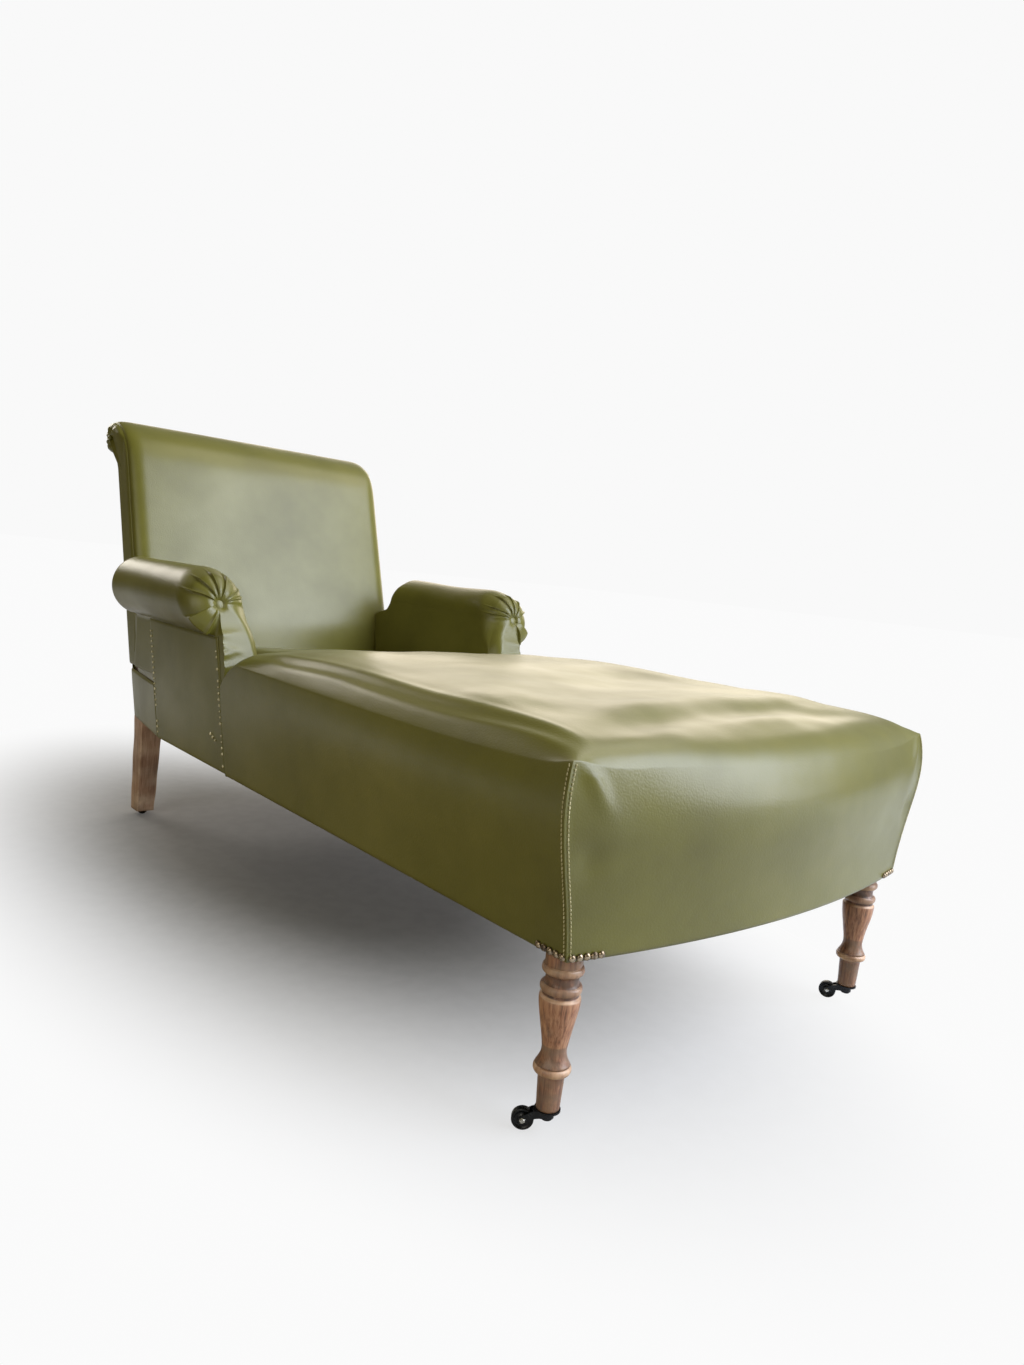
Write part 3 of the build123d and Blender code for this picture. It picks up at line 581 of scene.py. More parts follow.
@dataclass
class Row:
    """A run of one small thing along paths, spaced and turned by Geometry Nodes."""

    name: str
    finish: Finish
    pitch: float
    length: float
    width: float
    rise: float
    jitter: float = 0.0
    missing: float = 0.0
    seed: int = 1

    def tree(self) -> bpy.types.NodeTree:
        """Build the node tree: resample each path, set one element on each point, square to the cloth.

        Returns:
            The tree, with named inputs for its sizes.
        """
        tree = bpy.data.node_groups.new(f"{self.name}_row", "GeometryNodeTree")
        tree.interface.new_socket("Paths", in_out="INPUT", socket_type="NodeSocketGeometry")
        for label in ("Pitch", "Length", "Width", "Rise", "Jitter", "Missing"):
            tree.interface.new_socket(label, in_out="INPUT", socket_type="NodeSocketFloat")
        tree.interface.new_socket("Seed", in_out="INPUT", socket_type="NodeSocketInt")
        tree.interface.new_socket("Finish", in_out="INPUT", socket_type="NodeSocketMaterial")
        tree.interface.new_socket("Row", in_out="OUTPUT", socket_type="NodeSocketGeometry")
        given = add(tree, "NodeGroupInput").outputs
        paths = add(tree, "GeometryNodeMeshToCurve", links={"Mesh": given["Paths"]})
        spaced = add(tree, "GeometryNodeResampleCurve",
                     links={"Curve": paths.outputs["Curve"], "Length": given["Pitch"]}, mode="LENGTH")
        facing = add(tree, "GeometryNodeInputNamedAttribute", {"Name": "facing"}, data_type="FLOAT_VECTOR")
        upright = add(tree, "FunctionNodeAlignRotationToVector", links={"Vector": facing.outputs["Attribute"]},
                      axis="Z")
        tangent = add(tree, "GeometryNodeInputTangent").outputs["Tangent"]
        along = add(tree, "FunctionNodeAlignRotationToVector",
                    links={"Rotation": upright.outputs["Rotation"], "Vector": tangent}, axis="X",
                    pivot_axis="Z")
        ball = add(tree, "GeometryNodeMeshUVSphere", {"Segments": 12, "Rings": 6, "Radius": 0.5})
        soft = add(tree, "GeometryNodeSetShadeSmooth", links={"Geometry": ball.outputs["Mesh"]})
        size = add(tree, "ShaderNodeCombineXYZ",
                   links={"X": given["Length"], "Y": given["Width"], "Z": given["Rise"]})
        least = add(tree, "ShaderNodeMath", {0: 1.0}, {1: given["Jitter"]}, operation="SUBTRACT")
        most = add(tree, "ShaderNodeMath", {0: 1.0}, {1: given["Jitter"]}, operation="ADD")
        vary = add(tree, "FunctionNodeRandomValue",
                   links={2: least.outputs[0], 3: most.outputs[0], "Seed": given["Seed"]}, data_type="FLOAT")
        scaled = add(tree, "ShaderNodeVectorMath", links={0: size.outputs[0], "Scale": vary.outputs[1]},
                     operation="SCALE")
        chance = add(tree, "FunctionNodeRandomValue", links={"Seed": given["Seed"]}, data_type="FLOAT")
        there = add(tree, "FunctionNodeCompare", links={0: chance.outputs[1], 1: given["Missing"]},
                    operation="GREATER_EQUAL")
        placed = add(tree, "GeometryNodeInstanceOnPoints",
                     links={"Points": spaced.outputs["Curve"], "Instance": soft.outputs["Geometry"],
                            "Selection": there.outputs["Result"], "Rotation": along.outputs["Rotation"],
                            "Scale": scaled.outputs["Vector"]})
        real = add(tree, "GeometryNodeRealizeInstances", links={"Geometry": placed.outputs["Instances"]})
        dressed = add(tree, "GeometryNodeSetMaterial", links={"Geometry": real.outputs["Geometry"],
                                                              "Material": given["Finish"]})
        add(tree, "NodeGroupOutput", links={"Row": dressed.outputs["Geometry"]})
        return tree

    def lay(self, paths: list[tuple[np.ndarray, np.ndarray]]) -> bpy.types.Object:
        """Lay the row along paths.

        Args:
            paths: Pairs of points along a path and the cloth's outward direction at each.

        Returns:
            One plain mesh object with every element.
        """
        mesh = bpy.data.meshes.new(f"{self.name}_paths")
        points = np.concatenate([p for p, _ in paths])
        edges, start = [], 0
        for p, _ in paths:
            edges += [(start + i, start + i + 1) for i in range(len(p) - 1)]
            start += len(p)
        mesh.from_pydata(points.tolist(), edges, [])
        layer = mesh.attributes.new("facing", "FLOAT_VECTOR", "POINT")
        layer.data.foreach_set("vector", np.concatenate([n for _, n in paths]).astype(np.float32).ravel())
        guide = bpy.data.objects.new(f"{self.name}_guide", mesh)
        bpy.context.scene.collection.objects.link(guide)
        modifier = guide.modifiers.new("row", "NODES")
        modifier.node_group = self.tree()
        sizes = {"Pitch": self.pitch, "Length": self.length, "Width": self.width, "Rise": self.rise,
                 "Jitter": self.jitter, "Missing": self.missing, "Seed": self.seed,
                 "Finish": self.finish.material()}
        for socket in modifier.node_group.interface.items_tree:
            if socket.in_out == "INPUT" and socket.name in sizes:
                modifier[socket.identifier] = sizes[socket.name]
        ready = guide.evaluated_get(bpy.context.evaluated_depsgraph_get())
        plain = bpy.data.meshes.new_from_object(ready)
        plain.name = self.name
        guide.modifiers.remove(modifier)
        bpy.data.objects.remove(guide)
        bpy.data.meshes.remove(mesh)
        made = bpy.data.objects.new(self.name, plain)
        bpy.context.scene.collection.objects.link(made)
        return made


# Camera and studio


@dataclass
class PhotoCamera:
    """The camera where the photograph was taken from."""

    place: tuple[float, float, float] = (-1.0114, -1.4162, 0.6025)
    yaw: float = 41.4128
    pitch: float = 6.7847
    roll: float = 5.8898
    focal_pixels: float = 930.02
    image_height: int = 1365
    sensor_mm: float = 36.0
    clip_end: float = 200

    def build(self) -> bpy.types.Object:
        """Place the camera and make it the scene's own.

        Returns:
            The camera object.
        """
        yaw, pitch, roll = (math.radians(a) for a in (self.yaw, self.pitch, self.roll))
        ahead = Vector((math.sin(yaw) * math.cos(pitch), math.cos(yaw) * math.cos(pitch), -math.sin(pitch)))
        level = Vector((math.cos(yaw), -math.sin(yaw), 0))
        upright = level.cross(ahead)
        right = math.cos(roll) * level + math.sin(roll) * upright
        up = -math.sin(roll) * level + math.cos(roll) * upright
        data = bpy.data.cameras.new("photo_camera")
        data.sensor_width = self.sensor_mm
        data.lens = self.focal_pixels * self.sensor_mm / self.image_height
        data.clip_end = self.clip_end
        camera = bpy.data.objects.new("photo_camera", data)
        turn = Matrix((right, up, -ahead)).transposed().to_4x4()
        camera.matrix_world = Matrix.Translation(self.place) @ turn
        bpy.context.scene.collection.objects.link(camera)
        bpy.context.scene.camera = camera
        return camera


@dataclass(frozen=True)
class StudioFloor(Finish):
    """Seamless paper to the camera, grey round the shadow as painted shade and plain white farther off; a
    darker floor to light that bounces, and to reflections round the shadow as a painted shadow.
    """

    name: str = "studio_paper"
    # Grey paper that the camera sees round the shadow: painted shade that deepens it
    colour: str = "#A8A9AC"
    fibre: str = "#A4A5A8"
    # Darker floor for bounced light, and a painted shadow in reflections round the shadow
    bounce_and_reflected_shade: str = "#9C927A"
    lit: str = "#D2D6DC"
    # Middle, stretch along Y, and where the fade starts and ends: round the shadow, where the grey paper is
    # painted shade, and for a sheen, where the darker floor is a painted shadow in reflections
    shadow: tuple[float, ...] = (-0.1, 0.2, 0.5, 0.2, 0.7)
    gloss: tuple[float, ...] = (-0.5, 0.2, 0.78, 0.48, 1.05)
    white: float = 0.96
    fibre_mm: float = 30
    roughness: float = 0.95

    def shade(self, tree: bpy.types.NodeTree, shader: bpy.types.Node, place: bpy.types.NodeSocket) -> None:
        """A faint fibre in grey paper, painted shade round the shadow, and a fade to plain white with distance,
        for camera rays alone.
        """
        fibre = noise(tree, place, self.fibre_mm)
        path = add(tree, "ShaderNodeLightPath").outputs
        camera = path["Is Camera Ray"]
        # A sheen sees the lit floor outside an oval round the shadow and the darker one inside it, a painted
        # shadow in reflections; light that bounces sees the darker one
        sheen = times(tree, self.away(tree, place, *self.gloss), path["Is Glossy Ray"])
        unseen = ramp(tree, sheen, [(0.0, self.bounce_and_reflected_shade), (1.0, self.lit)])
        paper = ramp(tree, fibre, [(0.4, self.fibre), (0.6, self.colour)])
        tree.links.new(blended(tree, camera, unseen, paper), shader.inputs["Base Color"])
        shader.inputs["Roughness"].default_value = self.roughness
        shader.inputs["Specular IOR Level"].default_value = 0.0
        # Outside the shadow oval the paper glows plain white; inside it stays grey, as painted shade
        seen = times(tree, self.away(tree, place, *self.shadow), camera)
        glow = add(tree, "ShaderNodeEmission", {"Color": (1, 1, 1, 1), "Strength": self.white})
        blend = add(tree, "ShaderNodeMixShader", links={0: seen, 1: shader.outputs[0], 2: glow.outputs[0]})
        tree.links.new(blend.outputs[0], tree.nodes["Material Output"].inputs["Surface"])

    def away(self, tree: bpy.types.NodeTree, place: bpy.types.NodeSocket, x: float, y: float, stretch: float,
             near: float, far: float) -> bpy.types.NodeSocket:
        """How far a floor point is outside an oval.

        Args:
            tree: The material's nodes.
            place: The floor point.
            x: Middle of the oval.
            y: Middle of the oval.
            stretch: Scale along Y.
            near: Where the change starts.
            far: Where it ends.

        Returns:
            0 inside to 1 outside.
        """
        moved = add(tree, "ShaderNodeVectorMath", {1: (x, y, 0)}, {0: place}, operation="SUBTRACT")
        drawn = add(tree, "ShaderNodeVectorMath", {1: (1, stretch, 1)}, {0: moved.outputs["Vector"]},
                    operation="MULTIPLY")
        reach = add(tree, "ShaderNodeVectorMath", links={0: drawn.outputs["Vector"]}, operation="LENGTH")
        return ranged(tree, reach.outputs["Value"], (near, far), (0.0, 1.0), interpolation_type="SMOOTHSTEP")


@dataclass
class Studio:
    """A white sweep in a room that is bright to the right and dim to the left."""

    floor_half: float = 40.0
    backdrop: float = 0.947
    dim: float = 0.13
    bright: float = 0.4
    dim_colour: str = "#E6D8A8"

    def build(self) -> None:
        """Make the floor, the world and the lamps."""
        sweep = Patchwork("studio_floor")
        edge = np.linspace(-self.floor_half, self.floor_half, 3)
        x, y = np.meshgrid(edge, edge)
        sweep.patch(np.stack([x, y, np.zeros_like(x)], -1))
        floor = sweep.piece(StudioFloor(), inside=(0, 0, -1))
        self.light_world()
        # Name, place, target, width and height, watts, colour
        lamps = (
            ("window_front_right", (1.9, -2.9, 2.85), (0, 0.1, 0.5), (3.0, 2.8), 235, "#E9F1FF"),
            ("window_low_right", (2.4, -3.4, 1.0), (0, -0.6, 0.35), (1.5, 1.4), 50, "#EEF4FF"),
            ("wall_behind_right", (2.7, 3.1, 1.6), (-0.1, -0.3, 0.4), (5.2, 1.7), 74, "#FFF0DC"),
            ("doorway_behind", (-0.75, 3.2, 1.85), (-0.36, 0.1, 0.5), (1.3, 0.8), 22, "#FFF8EC"),
            ("ceiling_right", (1.5, -0.3, 3.3), (0, -0.2, 0.3), (2.2, 2.2), 40, "#FFFAF2"),
            ("fill_left", (-2.9, -1.3, 1.5), (0, 0.1, 0.3), (2.4, 1.8), 29, "#FFFAEE"),
        )
        for name, place, target, size, watts, colour in lamps:
            self.lamp(name, Vector(place), Vector(target), size, watts, colour)

    def light_world(self) -> None:
        """Near white to the camera; for other rays, dim on the left and bright on the right."""
        world = bpy.data.worlds.new("studio")
        bpy.context.scene.world = world
        world.use_nodes = True
        tree = world.node_tree
        shader = tree.nodes["Background"]
        heading = add(tree, "ShaderNodeTexCoord").outputs["Generated"]
        across = add(tree, "ShaderNodeSeparateXYZ", links={"Vector": heading}).outputs["X"]
        room = ranged(tree, across, (-0.6, 0.8), (self.dim, self.bright), interpolation_type="SMOOTHSTEP")
        path = add(tree, "ShaderNodeLightPath").outputs
        seen = add(tree, "ShaderNodeMath", links={0: path["Is Camera Ray"], 1: path["Is Transmission Ray"]},
                   operation="MAXIMUM").outputs[0]
        level = add(tree, "ShaderNodeMix", {"B": self.backdrop}, {"Factor": seen, "A": room})
        tree.links.new(level.outputs[0], shader.inputs["Strength"])
        tint = ramp(tree, across, [(0.0, self.dim_colour), (0.5, "#FFFFFF")])
        tree.links.new(blended(tree, seen, tint, (1, 1, 1, 1)), shader.inputs["Color"])

    def lamp(self, name: str, place: Vector, target: Vector, size: tuple[float, float], watts: float,
             colour: str) -> None:
        """Add one soft lamp.

        Args:
            name: Its name.
            place: Where it stands.
            target: What it points at.
            size: Its width and height.
            watts: Its power.
            colour: Its hex colour.
        """
        data = bpy.data.lights.new(name, "AREA")
        data.shape = "RECTANGLE"
        data.size, data.size_y = size
        data.energy = watts
        data.color = linear(colour)[:3]
        lamp = bpy.data.objects.new(name, data)
        lamp.rotation_mode = "QUATERNION"
        lamp.location = place
        lamp.rotation_quaternion = (target - place).to_track_quat("-Z", "Y")
        bpy.context.scene.collection.objects.link(lamp)


# Upholstery


@dataclass
class Rake:
    """A raked line in side view: Y as a height changes."""

    y: float
    z: float
    degrees: float

    def at(self, z: np.ndarray | float) -> np.ndarray | float:
        """Y of the line at height z."""
        return self.y + (z - self.z) * math.tan(math.radians(self.degrees))

    def behind(self, depth: float) -> "Rake":
        """The line that runs beside this one, a depth behind it."""
        return Rake(self.y + depth / math.cos(math.radians(self.degrees)), self.z, self.degrees)


ARM_FRONT = Rake(0.0561, 0.212, 17.0)
BACK_FRONT = Rake(0.6051, 0.508, 18.5)
BACK_REAR = BACK_FRONT.behind(0.078)
PANEL_REAR = Rake(0.3631, 0.212, 19.5)


@dataclass
class Dent:
    """A soft hollow or swell in the seat's top."""

    x: float
    y: float
    length: float
    width: float
    turn: float
    rise: float

    def over(self, x: np.ndarray, y: np.ndarray) -> np.ndarray:
        """Its height at places in plan."""
        angle = math.radians(self.turn)
        u = (x - self.x) * math.cos(angle) + (y - self.y) * math.sin(angle)
        v = -(x - self.x) * math.sin(angle) + (y - self.y) * math.cos(angle)
        return self.rise * bell(u, self.length) * bell(v, self.width)


@dataclass
class Seat:
    """The long seat: a crowned top, bowed foot, walls that swell, and corner seams with rows of stitches."""

    half_width: float = 0.343
    hem: float = 0.210
    edge: float = 0.402
    corner_y: float = -0.7869
    bow: float = 0.035
    flare: float = 0.023
    arm_flare: float = 0.002
    wall_swell: float = 0.0145
    arm_swell: float = 0.0008
    foot_swell: float = 0.0125
    corner_swell: float = 0.005
    corner_near: float = 0.05
    seam_rise: float = 0.0008
    seam_width: float = 0.0035
    # Scale in plan of the turned-in hem, and how far in and down its lip is
    hem_turn: tuple[float, float] = (0.93, 0.985)
    lip_share: float = 0.12
    lip_drop: float = 0.0012
    hem_lap: float = 0.008
    stitch_gap: float = 0.0042
    stitch_lift: float = 0.0007
    inner: float = 0.2565
    arm_block: float = 0.262
    arm_line: float = 0.088
    flap_x: float = 0.322
    flap_run: float = 0.06
    head_line: float = 0.562
    tuck: float = 0.045
    tuck_across: float = 0.045
    tuck_run: float = 0.07
    head_tuck: float = 0.050
    head_run: float = 0.06
    corner_rise: float = 0.017
    corner_across: float = 0.075
    corner_along: float = 0.16
    peak: float = 0.006
    peak_run: float = 0.024
    # Runs of the tight and of the slack half of each edge's rounding
    side_round: tuple[float, float] = (0.018, 0.045)
    foot_round: tuple[float, float] = (0.014, 0.11)
    foot_tighten: float = 0.075
    foot_lap: float = 0.004
    # Distance from the side, rise and half width of the soft ridges along it
    ridges: tuple[tuple[float, float, float], ...] = ((0.037, 0.0023, 0.0075), (0.025, -0.0018, 0.006),
                                                      (0.013, 0.0015, 0.0045))
    ridge_wander: float = 0.003
    # Rise, wavelength and seed of the slack in the top
    waves: tuple[tuple[float, float, int], ...] = ((0.0017, 0.10, 3), (0.0005, 0.05, 8))
    wave_stretch: float = 0.45
    # The crease beside a corner seam: rise, distance from the corner, slant and half width
    crease: tuple[float, float, float, float] = (0.0040, 0.018, 0.10, 0.011)
    # A hollow and a swell below it: rise, distance from the corner, half width, level and half height
    foot_marks: tuple[tuple[float, ...], ...] = ((-0.0030, 0.030, 0.016, 0.52, 0.10),
                                                 (0.0025, 0.045, 0.030, 0.72, 0.12))
    # Points across the middle and each side of the top, along it, back to the head, and up the walls
    middle_columns: int = 65
    side_columns: int = 45
    top_rows: int = 131
    head_rows: int = 61
    wall_rows: int = 46
    # Height of the crown along the seat, foot to head
    crown: tuple[tuple[float, float], ...] = ((-0.85, 0.457), (-0.30, 0.457), (-0.17, 0.453), (-0.067, 0.444),
                                              (0.0, 0.434), (0.07, 0.425), (0.13, 0.418), (0.3, 0.398),
                                              (0.45, 0.381), (0.6, 0.368))
    dents: tuple[Dent, ...] = (
        Dent(-0.16, -0.715, 0.10, 0.024, 14, -0.0065),
        Dent(-0.10, -0.655, 0.13, 0.030, 12, 0.0055),
        Dent(0.04, -0.735, 0.09, 0.024, 10, 0.0045),
        Dent(0.08, -0.690, 0.12, 0.026, 8, -0.0065),
        Dent(0.16, -0.640, 0.13, 0.032, 5, 0.0050),
        Dent(0.20, -0.720, 0.07, 0.026, -6, -0.0050),
        Dent(-0.05, -0.52, 0.18, 0.06, 30, -0.0060),
        Dent(0.14, -0.42, 0.16, 0.08, -10, -0.0055),
        Dent(-0.18, -0.30, 0.14, 0.07, 50, -0.0050),
    )

    @property
    def foot_half(self) -> float:
        """Half width of the top edge at the foot corners."""
        return self.half_width + self.flare

    def run_at(self, y: np.ndarray) -> np.ndarray:
        """Share of the way from the foot corner (0) to the arms (1)."""
        return np.clip((y - self.corner_y) / (self.arm_line - self.corner_y), 0, 1)

    def width_at(self, run: np.ndarray) -> np.ndarray:
        """Half width of the top edge, from the foot corner (0) to the arms (1)."""
        return self.foot_half + (self.arm_flare - self.flare) * run

    def foot_line(self, x: np.ndarray, half: float) -> np.ndarray:
        """Y of the bowed foot across X."""
        return self.corner_y - self.bow * (1 - np.clip(x / half, -1, 1) ** 2)

    def tucked(self, x: np.ndarray, y: np.ndarray) -> np.ndarray:
        """How far the top is drawn down beside the arms and under the back."""
        across = np.clip(self.arm_block - np.abs(x), 0, None) / self.tuck_across
        before = np.clip(self.arm_line - y, 0, None) / self.tuck_run
        arm = self.tuck * np.clip(1 - np.hypot(across, before), 0, 1) ** 2
        head = self.head_tuck * np.clip(1 - (self.head_line - y) / self.head_run, 0, 1) ** 2
        return np.maximum(arm, head)

    def height(self, x: np.ndarray, y: np.ndarray) -> np.ndarray:
        """Height of the top, with its crown, rounded edges, tucks and dents.

        Args:
            x: Places across.
            y: Places along.

        Returns:
            Heights above the floor.
        """
        from_side = np.clip(self.width_at(self.run_at(y)) - np.abs(x), 0, None)
        from_foot = np.clip(y - self.foot_line(x, self.foot_half) + self.foot_lap, 0, None)
        corner = np.exp(-from_side / self.corner_across)
        tight, slack = self.foot_round
        rise = np.interp(y, *zip(*self.crown)) - self.edge
        rise = rise * soft_edge(from_side, *self.side_round)
        rise = rise * soft_edge(from_foot, tight, slack - self.foot_tighten * corner)
        z = self.edge + rise + self.corner_rise * corner * np.exp(-from_foot / self.corner_along)
        z -= self.tucked(x, y)
        # Soft ridges run along each side of the top and meet at the foot corner
        fade = smooth_step(from_foot, 0.0, 0.10) * smooth_step(self.arm_line - y, 0.06, 0.22)
        places = np.stack([x, y * self.wave_stretch, np.zeros_like(x)], -1)
        wander = from_side + self.ridge_wander * undulation(places, 0.09, 6)
        z += fade * sum(high * bell(wander - place, width) for place, high, width in self.ridges)
        waves = sum(high * undulation(places, wave, seed) for high, wave, seed in self.waves)
        z += waves * smooth_step(from_side, 0.02, 0.07)
        inset = smooth_step(from_side, 0.02, 0.08) * smooth_step(from_foot, 0.015, 0.06)
        for dent in self.dents:
            z += inset * dent.over(x, y)
        return z

    def columns(self, half: np.ndarray) -> np.ndarray:
        """Places across the top for edges at plus and minus half, closer together at the edges and arms."""
        outer = self.inner + (half[:, None] - self.inner) * eased(self.side_columns)[1:]
        middle = np.broadcast_to(self.inner * spread(self.middle_columns), (len(half), self.middle_columns))
        return np.concatenate([-outer[:, ::-1], middle, outer], axis=1)

    def top(self) -> np.ndarray:
        """The top before the arms, as a grid from the foot to the arm line."""
        run = eased(self.top_rows)
        x = self.columns(self.width_at(run))
        y = self.foot_line(x, self.foot_half) * (1 - run[:, None]) + self.arm_line * run[:, None]
        corner = np.hypot(np.abs(x) - self.foot_half, y - self.corner_y)
        z = self.height(x, y) + self.peak * bell(corner, self.peak_run)
        return np.stack([x, y, z], -1)

    def between_arms(self) -> np.ndarray:
        """The top between the arms, back to the tuck under the back."""
        y = self.arm_line + (self.head_line - self.arm_line) * eased(self.head_rows)
        x, y = np.meshgrid(self.inner * spread(self.middle_columns), y)
        return np.stack([x, y, self.height(x, y)], -1)

    def under_arm(self, side: Side) -> np.ndarray:
        """The top's flap that runs on under an arm's rounded front."""
        y = self.between_arms()[:, 0, 1]
        x = self.columns(self.width_at(np.ones(1)))[0]
        x = x[(side.value * x > self.inner - 1e-6) & (np.abs(x) < self.flap_x)]
        x, y = np.meshgrid(x, y[y < self.arm_line + self.flap_run])
        return np.stack([x, y, self.height(x, y)], -1)

    def wall(self, top: np.ndarray) -> np.ndarray:
        """The three walls, from the hem up to the top's outer edge.

        Args:
            top: The top's grid.

        Returns:
            A grid from the turned-in hem (first row) to the top edge (last row).
        """
        rim = np.concatenate([top[::-1, 0], top[0, 1:-1], top[:, -1]])
        last = len(top)
        is_foot = np.zeros(len(rim))
        is_foot[last:-last] = 1
        outward = np.sign(rim[:, 0])
        run = self.run_at(rim[:, 1]) * (1 - is_foot)
        foot_x = np.clip(rim[:, 0] * self.half_width / self.foot_half, -self.half_width, self.half_width)
        hem_x = np.where(is_foot, foot_x, outward * self.half_width)
        hem_end = ARM_FRONT.at(self.hem) - self.hem_lap
        hem_y = np.where(is_foot, self.foot_line(foot_x, self.half_width),
                         self.corner_y + (hem_end - self.corner_y) * run)
        hem = np.stack([hem_x, hem_y, np.full(len(rim), self.hem)], -1)
        rise = np.linspace(0, 1, self.wall_rows)[:, None]
        grid = hem + (rim - hem) * rise[..., None]
        belly = np.sin(HALF_TURN * rise ** 2)
        from_corner = np.where(is_foot, self.foot_half - np.abs(rim[:, 0]), rim[:, 1] - self.corner_y)
        near = np.exp(-np.abs(from_corner) / self.corner_near)
        side_swell = self.wall_swell + (self.arm_swell - self.wall_swell) * run
        swell_x = np.where(is_foot, self.wall_swell * near, side_swell)
        foot_swell = self.corner_swell + self.foot_swell * (1 - (rim[:, 0] / self.foot_half) ** 2)
        swell_y = np.where(is_foot, foot_swell, self.corner_swell * near)
        grid[..., 0] += outward * swell_x * belly
        grid[..., 1] -= swell_y * belly
        self.crease_foot(grid, is_foot, rise)
        ends = smooth_step(rise, 0.0, 0.05) * smooth_step(1 - rise, 0, 0.05)
        seam = self.seam_rise * bell(from_corner, self.seam_width) * ends
        grid[..., 0] += outward * seam
        grid[..., 1] -= seam
        inward = hem * (*self.hem_turn, 1.0)
        lip = hem + (inward - hem) * self.lip_share - (0, 0, self.lip_drop)
        return np.concatenate([inward[None] - (0, 0, self.lip_drop / 2), lip[None], grid])

    def crease_foot(self, grid: np.ndarray, is_foot: np.ndarray, rise: np.ndarray) -> None:
        """Pull the foot's cloth into a crease, a hollow and a swell beside each corner seam.

        Args:
            grid: The walls' points, changed in place.
            is_foot: 1 where a column is on the foot.
            rise: 0 at the hem to 1 at the top edge.
        """
        inward = self.foot_half - np.abs(grid[..., 0])
        high, place, slant, width = self.crease
        out = high * bell(inward - place - slant * (1 - rise), width)
        out *= smooth_step(rise, 0.70, 0.93) * smooth_step(1 - rise, 0, 0.06)
        for high, place, width, level, reach in self.foot_marks:
            out += high * bell(inward - place, width) * bell(rise - level, reach)
        grid[..., 1] -= is_foot * out

    def seams(self, walls: np.ndarray) -> list[tuple[np.ndarray, np.ndarray]]:
        """Paths for the stitches each side of both corner seams.

        Args:
            walls: The walls' grid.

        Returns:
            Paths and outward directions.
        """
        paths = []
        rows = walls[3:-1]
        for sign in (-1, 1):
            away = np.abs(rows[0, :, 0] - sign * self.half_width) + np.abs(rows[0, :, 1] - self.corner_y)
            line = rows[:, int(np.argmin(away))]
            on_side = ((0, self.stitch_gap, 0), (sign, -0.15, 0))
            on_foot = ((-sign * self.stitch_gap, -0.0006, 0), (sign * 0.15, -1, 0))
            for step, facing in (on_side, on_foot):
                direction = np.array(facing) / np.linalg.norm(facing)
                stitched = line + np.array(step) + direction * self.stitch_lift
                paths.append((stitched, np.tile(direction, (len(line), 1))))
        return paths

    def nails(self) -> list[tuple[np.ndarray, np.ndarray]]:
        """Paths for the dome nails along the hem at each foot corner."""
        paths = []
        first, last, above = 0.0058, 0.0420, 0.0055
        for sign in (-1, 1):
            flank = np.array([[sign * (self.half_width + 0.0016), self.corner_y + d, self.hem + above]
                              for d in (first, last)])
            paths.append((flank, np.tile((sign, 0, -0.1), (2, 1))))
            x = sign * (self.half_width - np.linspace(first, last, 5))
            front = np.stack([x, self.foot_line(x, self.half_width) - 0.0012, np.full(5, self.hem + above)], -1)
            paths.append((front, np.tile((sign * 0.15, -1, -0.05), (5, 1))))
        return paths

    def build(self) -> list[bpy.types.Object]:
        """Make the seat, its stitches and its nails.

        Returns:
            The pieces.
        """
        work = Patchwork("seat")
        top = self.top()
        walls = self.wall(top)
        for grid in (top, self.between_arms(), *map(self.under_arm, Side), walls):
            work.patch(grid)
        seat = work.piece(LEATHER, inside=(0, -0.3, 0.25), smooth=2)
        declare(seat, "leathercloth", "seat_cover", "seat_stuffing", "seat_webbing", "seat_hessian")
        stitches = Row("corner_stitches", THREAD, pitch=0.0046, length=0.0039, width=0.0014,
                       rise=0.0012).lay(self.seams(walls))
        declare(stitches, "leathercloth")
        nails = Row("hem_nails", BRASS, pitch=0.0089, length=0.0088, width=0.0088, rise=0.0058, jitter=0.03,
                    seed=4).lay(self.nails())
        declare(nails, "brass", "corner_nails")
        return [seat, stitches, nails]


